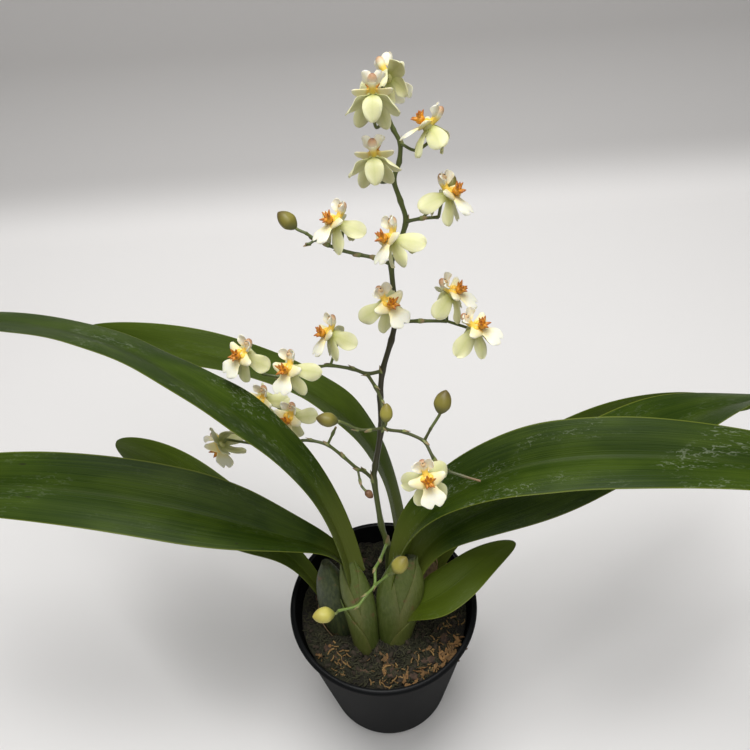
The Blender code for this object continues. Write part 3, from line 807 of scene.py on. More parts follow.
@dataclass(frozen=True)
class PaperySkin:
    """Thin dried bract, straw to grey-brown."""

    name: str = "papery_skin"
    pale: Colour = (0.36, 0.25, 0.13)
    dark: Colour = (0.10, 0.058, 0.028)

    def make(self) -> bpy.types.Material:
        """Build the material.

        Returns:
            The material.
        """
        shader = Shader(self.name, Roughness=0.75)
        where = shader.place()
        x, y, z = shader.parts(where)
        fibres = shader.cloud(shader.vector(x * 1100.0, y * 1100.0, z * 70.0), 1.0, 3.0)
        patch = shader.cloud(where, 150.0, 4.0, 0.6)
        colour = shader.mix(fibres.rise(0.35, 0.7) * 0.5 + patch.rise(0.45, 0.65) * 0.5,
                            self.pale, self.dark)
        return shader.dress(colour, fibres, 0.6, 0.0006)


@dataclass(frozen=True)
class GrainySkin:
    """Fine grain over a painted colour.

    grain holds the scale, detail and roughness of the noise, and relief the strength
    and depth of its bumps.
    """

    name: str
    roughness: float
    tint: Colour
    amount: float
    grain: tuple[float, float, float]
    rise: tuple[float, float]
    relief: tuple[float, float]
    glow: float = 0.0
    glow_radius: Point = (1.0, 0.2, 0.1)

    def make(self) -> bpy.types.Material:
        """Build the material.

        Returns:
            The material.
        """
        shader = Shader(self.name, Roughness=self.roughness, Subsurface_Weight=self.glow,
                        Subsurface_Radius=self.glow_radius)
        grain = shader.cloud(shader.place(), *self.grain)
        colour = shader.mix(grain.rise(*self.rise) * self.amount, shader.painted(),
                            self.tint)
        return shader.dress(colour, grain, *self.relief)


STEM_SKIN = GrainySkin("stem_skin", 0.4, (0.045, 0.032, 0.014), 0.35, (900.0, 3.0, 0.6),
                       (0.55, 0.75), (0.2, 0.0003), 0.04, (0.001, 0.0015, 0.0005))
CREST_SKIN = GrainySkin("crest_skin", 0.42, (0.36, 0.085, 0.006), 0.5, (1300.0, 3.0, 0.6),
                        (0.45, 0.72), (0.5, 0.0005), 0.12, (0.0016, 0.0007, 0.0002))
HUSK_SKIN = GrainySkin("husk_skin", 0.88, (0.300, 0.170, 0.060), 0.55, (900.0, 4.0, 0.6),
                       (0.35, 0.68), (0.8, 0.0010))


@dataclass(frozen=True)
class PetalSkin:
    """Thin waxy petal with a little light in it; the paint holds its colour."""

    name: str = "petal_skin"
    glow: float = 0.28
    bloom: float = 0.10
    frost: Colour = (1.0, 1.0, 0.92)

    def make(self) -> bpy.types.Material:
        """Build the material.

        Returns:
            The material.
        """
        shader = Shader(self.name, Roughness=0.5, Subsurface_Weight=self.glow,
                        Subsurface_Radius=(0.0016, 0.0014, 0.0007))
        grain = shader.cloud(shader.place(), 700.0, 3.0, 0.55)
        colour = shader.mix(self.bloom * grain, shader.painted(), self.frost)
        return shader.dress(colour, grain, 0.18, 0.0004)


@dataclass(frozen=True)
class MossSkin:
    """Damp mix of moss, fibre and grit, grey-green to dark brown."""

    name: str = "moss_skin"
    soil: Colour = (0.009, 0.007, 0.004)
    moss: Colour = (0.022, 0.023, 0.008)
    fibre: Colour = (0.036, 0.029, 0.013)
    grit: Colour = (0.012, 0.009, 0.006)

    def make(self) -> bpy.types.Material:
        """Build the material.

        Returns:
            The material.
        """
        shader = Shader(self.name, Roughness=0.92)
        where = shader.place()
        broad = shader.cloud(where, 75.0, 3.0, 0.55)
        fine = shader.cloud(where, 520.0, 5.0, 0.65)
        grit = shader.cells(where, 700.0)
        colour = shader.mix(broad.rise(0.38, 0.62), self.soil, self.moss)
        colour = shader.mix(fine.rise(0.45, 0.72) * 0.7, colour, self.fibre)
        colour = shader.mix(1.0 - grit.rise(0.02, 0.22), colour, self.grit)
        return shader.dress(colour, fine + grit * 0.5, 0.9, 0.0016)


@dataclass(frozen=True)
class ScrapSkin:
    """Dried moss or bark, one piece differing from the next by its paint."""

    name: str
    pale: Colour
    dark: Colour
    roughness: float = 0.85

    def make(self) -> bpy.types.Material:
        """Build the material.

        Returns:
            The material.
        """
        shader = Shader(self.name, Roughness=self.roughness)
        grain = shader.cloud(shader.place(), 420.0, 4.0, 0.6)
        own = shader.node("ShaderNodeAttribute", {"attribute_name": SHADE}, output="Fac")
        colour = shader.mix(grain.rise(0.3, 0.7) * 0.5 + own * 0.5, self.dark, self.pale)
        return shader.dress(colour, grain, 0.6, 0.0008)


@dataclass(frozen=True)
class FloorPaper:
    """Pale paper, turned grey towards the backdrop by painted shade."""

    colour: Colour = (0.800, 0.785, 0.772)
    # grey: painted shade colour that the bend and the wall take
    grey: Colour = (0.490, 0.478, 0.468)
    turn: tuple[float, float] = (0.402, 0.490)
    slant: float = 0.006

    def make(self) -> bpy.types.Material:
        """Build the material.

        Returns:
            The material.
        """
        shader = Shader("floor_paper", Roughness=0.6, Specular_IOR_Level=0.25)
        x, y, z = shader.parts(shader.place())
        # Painted shade: the paper greys from the floor up the bend and the wall, a little
        # slanted across
        share = (y + z - x * self.slant).rise(*self.turn)
        shader.feed("Base Color", shader.mix(share, self.colour, self.grey))
        return shader.material


# Pot


@dataclass
class Pot:
    """Round tapered nursery pot with a slim rolled rim, turned from one profile."""

    rim_radius: float = 40.0
    height: float = 80.0
    base_radius: float = 28.0
    wall: float = 1.4
    floor: float = 2.4
    foot_round: float = 6.0
    rim_band: float = 3.4
    rim_roll: float = 1.5
    hollow: float = 0.9
    segments: int = 160
    weld: float = 0.00001
    crease: float = 40.0

    def radius(self, height: float) -> float:
        """Outer radius of the wall at a height."""
        top = self.rim_radius - 1.2
        return self.base_radius + (top - self.base_radius) * height / self.height

    def profile(self) -> list[tuple[float, float]]:
        """The wall's outline, from the underside round to the inside.

        Returns:
            Radius and height of each point.
        """
        foot = self.base_radius - self.foot_round
        line = [(0.0, self.hollow), (foot - 3.0, self.hollow), (foot - 1.6, 0.0)]
        for step in range(10):
            angle = math.radians(10 * step)
            line.append((foot + self.foot_round * (math.sin(angle) + 0.1 * step / 9),
                         self.foot_round * (1 - math.cos(angle))))
        band = self.height - self.rim_band
        line += [(self.radius(band * 0.5), band * 0.5), (self.radius(band), band),
                 (self.rim_radius - 0.55, band + 0.25)]
        for step in range(7):
            angle = math.radians(30 * step - 60)
            line.append((self.rim_radius + self.rim_roll * (math.cos(angle) - 1),
                         self.height + self.rim_roll * (math.sin(angle) - 1)))
        line += [(self.rim_radius - 2.7, self.height - 3.0)]
        line += [(self.radius(h) - self.wall, h) for h in (72.0, 40.0, 9.0)]
        line += [(foot, self.floor), (0.0, self.floor)]
        return line

    def build(self) -> None:
        """Turn the profile round the pot's axis with a node tree."""
        line = self.profile()
        mesh = bpy.data.meshes.new("pot_profile")
        points = [((r - self.rim_radius) * MM, -h * MM, 0.0) for r, h in line]
        edges = [(i, i + 1) for i in range(len(points) - 1)]
        mesh.from_pydata(points, edges, [])
        lathe = Growing("pot_lathe", {"Segments": self.segments,
                                      "Rim radius": self.rim_radius * MM})
        outline = lathe.node("GeometryNodeMeshToCurve", None, {0: lathe.named("Geometry")})
        circle = lathe.node("GeometryNodeCurvePrimitiveCircle", None, {
            "Resolution": lathe.named("Segments"), "Radius": lathe.named("Rim radius")})
        turned = lathe.node("GeometryNodeCurveToMesh", None, {
            "Curve": circle.outputs[0], "Profile Curve": outline.outputs[0]})
        welded = lathe.node("GeometryNodeMergeByDistance", None, {
            0: turned.outputs[0], "Distance": self.weld})
        lathe.close(welded.outputs[0], PotPlastic().make())
        obj = lathe.grow("pot_shell", mesh)
        self.face_outwards(obj.data)
        obj.data.shade_smooth()
        obj.data.set_sharp_from_angle(angle=math.radians(self.crease))
        settle(obj, Slot.POT, "pot")

    @staticmethod
    def face_outwards(mesh: bpy.types.Mesh) -> None:
        """Turn a closed mesh outwards if it is inside out.

        Args:
            mesh: the mesh.
        """
        mesh.calc_loop_triangles()
        volume = 0.0
        for tri in mesh.loop_triangles:
            a, b, c = (mesh.vertices[i].co for i in tri.vertices)
            volume += a.dot(b.cross(c))
        if volume < 0:
            mesh.flip_normals()


# Growing medium

# A bark chip: x, y, heading in degrees and length.
CHIPS = ((17, -24, 20, 9), (-23, -18, 130, 8), (25, -14, 70, 7),
         (1, -26, 90, 9), (-10, -28, 150, 6), (22, 22, -40, 8),
         (-8, 26, 15, 9), (-28, 10, 80, 7), (9, -31, 170, 6))

# A tuft of dried moss: x, y, number of shreds, how far they spread and their length.
TUFTS = ((21.8, -25.7, 12, 2.6, 4.2), (26.5, -24.0, 8, 1.6, 3.6), (29.5, -19.5, 8, 2.4, 4.0),
         (7.3, -34.2, 5, 0.7, 3.4), (-1.0, -24.0, 6, 1.6, 4.0), (13.0, -29.5, 5, 2.4, 3.4),
         (-24.0, -17.5, 4, 2.0, 3.2), (27.0, 17.0, 6, 3.0, 4.0))

# Where dried orange-brown moss lies: x, y and radius.
STRAW = ((17, -27, 9), (-22, -20, 7), (-4, -27, 8), (27, -16, 9),
         (33, -22, 6), (24, 20, 7), (9, -33, 6))


@dataclass(frozen=True)
class Litter:
    """Bent strands, or crumbs where the length is 0, scattered on the bed, in metres.

    density is for each square metre, tilt how far a piece may lean, in radians, and
    spots the discs that the litter keeps to.
    """

    name: str
    skin: ScrapSkin
    density: float
    seed: int
    tilt: float
    scales: tuple[float, float]
    thick: float
    length: float = 0.0
    spots: tuple = ()

    @staticmethod
    def strand(tree: Growing) -> bpy.types.Node:
        """Add a bent strand to the tree.

        Args:
            tree: the tree.

        Returns:
            The node that ends it.
        """
        arc = tree.node("GeometryNodeCurveQuadraticBezier", None, {
            "Resolution": 4, "Start": (-0.5, 0.0, 0.0), "Middle": (0.0, 0.32, 0.12),
            "End": (0.5, 0.0, 0.05)})
        size = tree.node("ShaderNodeCombineXYZ", None,
                         {axis: tree.named("Length") for axis in range(3)})
        long_arc = tree.node("GeometryNodeTransform", None, {
            "Geometry": arc.outputs[0], "Scale": size.outputs[0]})
        ring = tree.node("GeometryNodeCurvePrimitiveCircle", None, {
            "Resolution": 3, "Radius": tree.named("Thickness")})
        return tree.node("GeometryNodeCurveToMesh", None, {
            "Curve": long_arc.outputs[0], "Profile Curve": ring.outputs[0],
            "Fill Caps": True})

    @staticmethod
    def crumb(tree: Growing) -> bpy.types.Node:
        """Add an angular crumb to the tree.

        Args:
            tree: the tree.

        Returns:
            The node that ends it.
        """
        lump = tree.node("GeometryNodeMeshIcoSphere", None, {
            "Radius": tree.named("Thickness"), "Subdivisions": 1})
        return tree.node("GeometryNodeTransform", None, {
            "Geometry": lump.outputs[0], "Scale": (1.5, 0.9, 0.6)})

    def grow(self, ground: bpy.types.Mesh) -> bpy.types.Object:
        """Scatter it, each piece with a shade of its own.

        Args:
            ground: what it lies on.

        Returns:
            The object.
        """
        tree = Growing(self.name + "_tree", {"Density": self.density, "Seed": self.seed,
                                             "Thickness": self.thick, "Length": self.length})
        shape = self.strand(tree) if self.length else self.crumb(tree)
        seed = tree.named("Seed")
        spots = tree.node("GeometryNodeDistributePointsOnFaces", None, {
            "Mesh": tree.named("Geometry"), "Density": tree.named("Density"),
            "Seed": seed})
        turn = tree.node("FunctionNodeRandomValue", {"data_type": "FLOAT_VECTOR"}, {
            0: (-self.tilt, -self.tilt, 0.0), 1: (self.tilt, self.tilt, math.tau),
            "Seed": seed})
        scale = tree.node("FunctionNodeRandomValue", {"data_type": "FLOAT"}, {
            2: self.scales[0], 3: self.scales[1], "Seed": seed})
        spread = tree.node("GeometryNodeInstanceOnPoints", None, {
            "Points": spots.outputs[0], "Instance": shape.outputs[0],
            "Rotation": turn.outputs[0], "Scale": scale.outputs[1]})
        shade = tree.node("FunctionNodeRandomValue", {"data_type": "FLOAT"}, {
            2: 0.0, 3: 1.0, "Seed": seed})
        kept = tree.node("GeometryNodeStoreNamedAttribute",
                         {"data_type": "FLOAT", "domain": "INSTANCE"},
                         {"Geometry": spread.outputs[0], "Name": SHADE,
                          "Value": shade.outputs[1]})
        tree.close(kept.outputs[0], self.skin.make())
        return tree.grow(self.name, ground)


@dataclass
class MossBed:
    """The mix that fills the pot: a lumpy bed with scraps and strands on it."""

    pot: Pot
    top: float = 71.5
    rings: int = 84
    sides: int = 200
    strands: float = 620000.0
    scraps: float = 90000.0
    scrap_size: float = 0.0009
    chip_seed: int = 23
    tuft_seed: int = 31
    shred_reach: float = 35.5
    husk_pale: Colour = (0.220, 0.110, 0.034)
    husk_dark: Colour = (0.060, 0.034, 0.014)

    def level(self, x: float, y: float) -> float:
        """Height of the bed before its lumps, as in the CAD model."""
        wave = (math.sin(0.31 * x + 1.3) * math.cos(0.27 * y - 0.6)
                + 0.6 * math.sin(0.63 * x - 0.41 * y + 2.1))
        return self.top - 0.045 * y + 0.9 * wave

    def lumps(self, x: float, y: float) -> float:
        """Extra height from lumps and crumbs."""
        spot = Vector((x, y, 3.0))
        return sum(noise.noise(spot / size) * height
                   for size, height in ((6.5, 2.4), (2.2, 2.0), (0.9, 0.9)))

    def surface(self) -> tuple[np.ndarray, float]:
        """The top of the bed.

        Returns:
            Rings of points from the middle outwards, and the radius of the last.
        """
        reach = self.pot.radius(self.top) - self.pot.wall - 0.5
        rows = []
        for i in range(1, self.rings + 1):
            radius = reach * i / self.rings
            fade = 1.0 - 0.4 * ease((i / self.rings - 0.9) / 0.1)
            row = []
            for k in range(self.sides):
                angle = math.tau * k / self.sides
                x = radius * math.cos(angle)
                y = radius * math.sin(angle)
                row.append((x, y, self.level(x, y) + fade * self.lumps(x, y)))
            rows.append(row)
        return np.array(rows), reach

    def build(self) -> None:
        """Build the bed, then scatter on it."""
        rows, reach = self.surface()
        under = []
        for radius, height in ((reach - 0.6, 60.0), (self.pot.base_radius - 2.0, 9.0),
                               (self.pot.base_radius - self.pot.foot_round - 0.5, 2.8)):
            angle = around(self.sides)
            under.append(np.stack([radius * np.cos(angle), radius * np.sin(angle),
                                   np.full(self.sides, height)], 1))
        bed = Draft()
        bed.loft(np.concatenate([np.array(under)[::-1], rows[::-1]]), (0.05, 0.04, 0.02))
        settle(bed.finish("moss_bed", MossSkin().make(), 180.0), Slot.MEDIUM, "medium")
        self.scatter(rows)
        self.big_chips()
        self.tufts()

    def ground(self, rows: np.ndarray, name: str, spots: tuple) -> bpy.types.Mesh:
        """An open patch of the top to scatter on.

        Args:
            rows: rings of the top.
            name: name of the mesh.
            spots: x, y and radius of the discs that it keeps to, or none for all of it.

        Returns:
            The patch.
        """
        count, size = rows.shape[:2]
        mesh = bpy.data.meshes.new(name)
        faces = []
        for i in range(0, count - 4, 2):
            for k in range(0, size, 2):
                x, y = rows[i, k, :2]
                if not spots or any(math.hypot(x - a, y - b) < r for a, b, r in spots):
                    a, b = k, (k + 2) % size
                    faces.append((i * size + a, (i + 2) * size + a,
                                  (i + 2) * size + b, i * size + b))
        mesh.from_pydata((rows.reshape(-1, 3) * MM).tolist(), [], faces)
        return mesh

    def scatter(self, rows: np.ndarray) -> None:
        """Scatter strands and crumbs with node trees.

        Args:
            rows: rings of the top.
        """
        for litter in (
                Litter("moss_strands", ScrapSkin("moss_strand", (0.050, 0.048, 0.019),
                                                 (0.010, 0.009, 0.004)),
                       self.strands, 3, 0.45, (0.5, 1.35), 0.30 * MM, 0.0024),
                Litter("straw_strands", ScrapSkin("straw_strand", (0.330, 0.200, 0.070),
                                                  (0.110, 0.055, 0.018)),
                       self.strands * 0.22, 11, 0.45, (0.5, 1.35), 0.34 * MM, 0.0030, STRAW),
                Litter("bark_crumbs", ScrapSkin("bark_crumb", (0.044, 0.030, 0.017),
                                                (0.009, 0.007, 0.004)),
                       self.scraps, 5, 0.9, (0.4, 1.5), self.scrap_size)):
            ground = self.ground(rows, litter.name + "_ground", litter.spots)
            settle(litter.grow(ground), Slot.MEDIUM, "medium")

    def big_chips(self) -> None:
        """Bark chips that lie half sunk, with torn ends."""
        rng = random.Random(self.chip_seed)
        draft = Draft()
        for x, y, heading, length in CHIPS:
            draft.frame = (Matrix.Translation((x, y, self.level(x, y) - 0.2))
                           @ Matrix.Rotation(math.radians(heading), 4, "Z")
                           @ Matrix.Rotation(0.16, 4, "Y"))
            rings = []
            for step in np.linspace(-0.5, 0.5, 9):
                girth = 1.0 - 0.5 * (2 * abs(step)) ** 3
                ring = []
                for angle in around(10):
                    swell = girth * (1.0 + rng.uniform(-0.16, 0.16))
                    ring.append((step * length + rng.uniform(-0.3, 0.3),
                                 1.75 * swell * math.cos(angle),
                                 1.15 * swell * math.sin(angle)))
                rings.append(ring)
            draft.loft(np.array(rings), (0.1, 0.05, 0.02, 1.0))
        skin = ScrapSkin("bark_chip", (0.150, 0.085, 0.045), (0.035, 0.020, 0.013))
        settle(draft.finish("bark_chips", skin.make(), 40.0), Slot.MEDIUM, "medium")

    def tufts(self) -> None:
        """Bundles of dried orange-brown moss, the front ones up to the rim."""
        rng = random.Random(self.tuft_seed)
        draft = Draft()
        for x, y, count, spread, size in TUFTS:
            for _ in range(count):
                heading = rng.uniform(0, math.tau)
                spot = np.array((x + rng.gauss(0, spread), y + rng.gauss(0, spread), 0.0))
                spot[:2] *= min(1.0, self.shred_reach / math.hypot(spot[0], spot[1]))
                spot[2] = self.level(spot[0], spot[1]) + rng.uniform(0.4, 1.8)
                path = []
                radii = []
                for step in range(7):
                    path.append(spot.copy())
                    radii.append(rng.uniform(0.45, 1.05) * (1.0 - 0.08 * step))
                    heading += rng.uniform(-0.45, 0.45)
                    spot += size / 6 * np.array((math.cos(heading), math.sin(heading),
                                                 rng.uniform(-0.35, 0.40)))
                shade = blend(self.husk_dark, self.husk_pale, rng.random())
                draft.tube(path, radii, shade, 7, 0.40)
        settle(draft.finish("dry_moss_tufts", HUSK_SKIN.make(), 60.0), Slot.MEDIUM, "medium")


# Leaves


@dataclass
class Leaf:
    """A strap leaf with a folded base, a keeled midrib and gently wavy edges."""

    name: str
    spine: tuple
    width: float
    roll: tuple
    fold: tuple
    base: float
    peak: float
    tip: float
    skin: LeafSkin
    thickness: float = 0.8
    stations: int = 150
    columns: int = 25
    wave: float = 0.28

    def lines(self, places: np.ndarray) -> tuple:
        """Lines along the leaf, as in the CAD model.

        Args:
            places: places along it from 0 to 1.

        Returns:
            Midrib, left half, right half, upward direction and half width at each place.
        """
        spine = np.array(self.spine, float)
        weights = spline_weights(len(spine), places)
        step = 1e-3
        ahead = spline_weights(len(spine), places + step) @ spine
        behind = spline_weights(len(spine), places - step) @ spine
        tangent = ahead - behind
        tangent /= np.linalg.norm(tangent, axis=1, keepdims=True)
        reach = spine[-1] - spine[0]
        side = unit((-reach[1], reach[0], 0.0))
        side = side - (tangent @ side)[:, None] * tangent
        side /= np.linalg.norm(side, axis=1, keepdims=True)
        normal = np.cross(tangent, side)
        roll = weights @ np.radians(self.roll)
        cos_r = np.cos(roll)[:, None]
        sin_r = np.sin(roll)[:, None]
        across = cos_r * side + sin_r * normal
        upward = cos_r * normal - sin_r * side
        fold_a, fold_b = np.radians(self.fold)
        fold = (fold_a + (fold_b - fold_a) * ease(places / 0.7))[:, None]
        beyond = np.clip((places - self.peak) / (1 - self.peak), 0, 1)
        taper = np.sqrt(np.clip(1 - beyond ** self.tip, 0.0, 1.0))
        swell = self.base + (1 - self.base) * ease(places / self.peak)
        half = (0.5 * self.width * swell * taper)[:, None]
        left = half * (np.cos(fold) * across + np.sin(fold) * upward)
        right = half * (-np.cos(fold) * across + np.sin(fold) * upward)
        return weights @ spine, left, right, upward, half

    def grid(self) -> tuple[np.ndarray, np.ndarray, np.ndarray]:
        """The blade with its ripples.

        Returns:
            Middle surface, its thickness and its paint.
        """
        places = 1 - (1 - np.linspace(0.0, 0.9985, self.stations)) ** 1.3
        middle, left, right, upward, half = self.lines(places)
        share = np.linspace(-1.0, 1.0, self.columns)
        share = np.sign(share) * np.abs(share) ** 0.85
        to_left = np.sqrt(np.clip(-share, 0, 1) ** 2 + 0.0016) - 0.04
        to_right = np.sqrt(np.clip(share, 0, 1) ** 2 + 0.0016) - 0.04
        grid = (middle[:, None, :] + to_left[None, :, None] * left[:, None, :]
                + to_right[None, :, None] * right[:, None, :])
        arch = np.sin(math.pi * np.abs(share))[None, :] * half * 0.045
        length = np.linalg.norm(np.diff(middle, axis=0), axis=1).sum()
        ripple = np.sin(places * length / 17.0 + len(self.name))
        ripple = ripple + 0.6 * np.sin(places * length / 7.3 + 1.0)
        ruffle = (self.wave * ripple * ease(places / 0.3))[:, None] * (share ** 3)[None, :]
        grid = grid + (arch + ruffle)[..., None] * upward[:, None, :]
        keel = 0.6 * np.exp(-(share / 0.07) ** 2)[None, :]
        thin = 1.0 - 0.45 * places[:, None]
        thick = (self.thickness * 0.62 + keel) * thin
        paint = np.zeros(grid.shape[:2] + (4,))
        paint[..., 0] = places[:, None]
        paint[..., 1] = share[None, :]
        paint[..., 2] = length / 100.0
        paint[..., 3] = 1.0
        return grid, thick, paint

    def build(self, node: str) -> None:
        """Build the leaf as a piece of its growth.

        Args:
            node: CAD node of the growth.
        """
        draft = Draft()
        draft.sheet(*self.grid(), rim=0.5)
        settle(draft.finish(self.name, self.skin.make(), 60.0), Slot.LEAVES, node)


@dataclass
class Growth:
    """A bulb wrapped in leaf bases, with the leaves that leave it."""

    node: str
    stations: tuple
    leaves: tuple
    bulb_colour: Colour = (0.165, 0.240, 0.050)
    top_colour: Colour = (0.120, 0.215, 0.035)
    # Painted shade colour for the bulb's top inside its wraps
    bulb_top_shade: Colour = (0.030, 0.050, 0.010)
    edge_colour: Colour = (0.30, 0.33, 0.13)
    wraps: tuple = ()
    papery: tuple = ()
    pinch: float = 0.0
    levels: int = 40
    sides: int = 44

    def oval(self, share: float, angle: ArrayLike, grow: float = 0.0) -> np.ndarray:
        """Point on the bulb at a share of its height and an angle.

        Args:
            share: place from the lowest station to the highest.
            angle: angle or angles round it.
            grow: extra radius.

        Returns:
            The point or points.
        """
        rows = np.array([(*c, w, d) for c, w, d in self.stations], float)
        line = np.clip(share, 0.0, 1.0) * (len(rows) - 1)
        low = min(int(line), len(rows) - 2)
        fine = through(rows, 8)
        spot = (low + line - low) * 8
        first = min(int(spot), len(fine) - 2)
        row = fine[first] + (fine[first + 1] - fine[first]) * (spot - first)
        angle = np.asarray(angle, float)
        close = 1.0 - self.pinch * float(ease((share - 0.55) / 0.45))
        return np.stack([row[0] + close * (row[3] + grow) * np.cos(angle),
                         row[1] + close * (row[4] + grow) * np.sin(angle),
                         np.full(angle.shape, row[2])], -1)

    def build(self) -> None:
        """Build the bulb, its wraps and its leaves."""
        draft = Draft()
        angles = around(self.sides)
        shares = np.linspace(0.0, 1.0, self.levels)
        rings = np.array([self.oval(s, angles) for s in shares])
        groove = 1.0 + 0.012 * np.sin(angles * 11)[None, :, None]
        middle = rings.mean(axis=1, keepdims=True)
        rings = middle + (rings - middle) * groove
        shades = blend(self.bulb_colour, self.top_colour, shares)
        # Painted shade: the bulb's top end, pinched inside its wraps, darkens
        shades = blend(shades, self.bulb_top_shade, ease((shares - 0.955) / 0.03))
        draft.loft(rings, np.hstack([shades, np.ones((self.levels, 1))]))
        for wrap in self.wraps:
            self.wrap(draft, *wrap)
        settle(draft.finish(self.node + "_bulb", SheathSkin().make(), 50.0),
               Slot.LEAVES, self.node)
        if self.papery:
            dry = Draft()
            for wrap in self.papery:
                self.wrap(dry, *wrap)
            settle(dry.finish(self.node + "_husk", PaperySkin().make(), 50.0),
                   Slot.LEAVES, self.node)
        for leaf in self.leaves:
            leaf.build(self.node)

    def wrap(self, draft: Draft, centre: float, spread: float, low: float, high: float,
             grow: float, colour: Colour, flare: float = 0.0) -> None:
        """Add a leaf base that clasps the bulb and ends in a point.

        Args:
            draft: where it goes.
            centre: angle of its middle, in degrees.
            spread: half its width, in degrees.
            low: where it starts, as a share of the bulb's height.
            high: where its middle ends.
            grow: how far it stands off the bulb.
            colour: its colour at the foot.
            flare: extra stand-off at its tip.
        """
        rows, columns = 26, 21
        grid, paint = blank(rows, columns)
        for i in range(rows):
            up = i / (rows - 1)
            width = math.radians(spread) * (1.0 - 0.85 * up ** 3.0)
            share = low + (high - low) * up
            across = np.linspace(-1, 1, columns)
            lift = grow + flare * up * up + 0.3 * (1 - across ** 2)
            for k, q in enumerate(across):
                dip = 0.06 * q * q * up
                grid[i, k] = self.oval(share - dip, math.radians(centre) + width * q,
                                       float(lift[k]))
            edge = np.abs(across) ** 6
            paint[i] = blend(blend(colour, self.top_colour, up), self.edge_colour,
                             edge * 0.35)
        draft.sheet(grid, 0.45, paint)


class Look(Enum):
    """Finishes of the leaves."""

    SCRATCHED = LeafSkin("leaf_skin_scratched", scratched=0.26)
    SPOTTED = LeafSkin("leaf_skin_spotted", scratched=0.06, spotted=0.7)
    PLAIN = LeafSkin("leaf_skin_plain", scratched=0.04, sunny=0.25)
    BRIGHT = LeafSkin("leaf_skin_bright", scratched=0.04, sunny=0.5)


# A leaf: spine, width, roll along it, fold at the base and tip, share of the width at
# the base, place of the widest point, how blunt the tip is, and finish.
LEAVES = {
    "leaf_upper_left": (
        ((-12, -1, 104), (-16, 8, 138), (-32, 13, 173), (-57, 20, 197), (-87, 38, 207),
         (-127, 62, 196), (-178, 96, 173)),
        26, (-5, 3, 19, 31, 36, 16, -15), (30, 4), 0.50, 0.50, 2.2, Look.SCRATCHED),
    "leaf_lower_left": (
        ((-14, 0, 104), (-16, 4, 116), (-32, 5, 124), (-65, 12, 136), (-112, 22, 144),
         (-168, 29, 145), (-229, 32, 138)),
        32, (5, 0, -10, -17, -20, -23, -24), (38, 14), 0.25, 0.56, 3.0, Look.SPOTTED),
    "leaf_back": (
        ((10, 14, 80), (8, 30, 114), (1, 40, 135), (-15, 50, 153), (-44, 66, 160),
         (-83, 85, 158), (-128, 106, 152)),
        27, (2, 17, 26, 30, 21, -7, -38), (14, 16), 0.42, 0.54, 3.4, Look.PLAIN),
    "leaf_far_right": (
        ((21, 11, 74), (29, 16, 94), (44, 30, 108), (76, 50, 118), (118, 66, 118),
         (152, 74, 110), (186, 82, 94)),
        18, (10, 20, 40, 55, 60, 60, 50), (25, 10), 0.40, 0.50, 2.6, Look.PLAIN),
    "leaf_short_left": (
        ((-22, -1, 73), (-32, 14, 91), (-50, 20, 103), (-71, 32, 114), (-93, 53, 118),
         (-121, 75, 107)),
        25, (2, 0, -10, -24, -41, -55), (40, 0), 0.30, 0.60, 3.0, Look.PLAIN),
    "leaf_upper_right": (
        ((8, -1, 98), (11, 8, 120), (29, 14, 137), (61, 16, 151), (102, 9, 159), (152, 0, 156),
         (211, -10, 143)),
        31, (4, 6, 14, 19, 18, 11, 2), (38, 20), 0.52, 0.55, 3.2, Look.SCRATCHED),
    "leaf_lower_right": (
        ((12, -1, 94), (16, 8, 108), (34, 14, 118), (69, 20, 129), (107, 34, 137),
         (147, 51, 134), (189, 68, 117)),
        31, (18, 26, 39, 40, 17, -19, -50), (34, 18), 0.44, 0.58, 3.2, Look.SPOTTED),
    "leaf_short_right": (
        ((8, -8, 84), (12, -9, 90), (20, -10, 95), (33, -4, 101), (44, 6, 101), (58, 15, 95)),
        21, (-3, -10, -13, -8, 1, 6), (14, 4), 0.48, 0.45, 1.8, Look.BRIGHT),
}


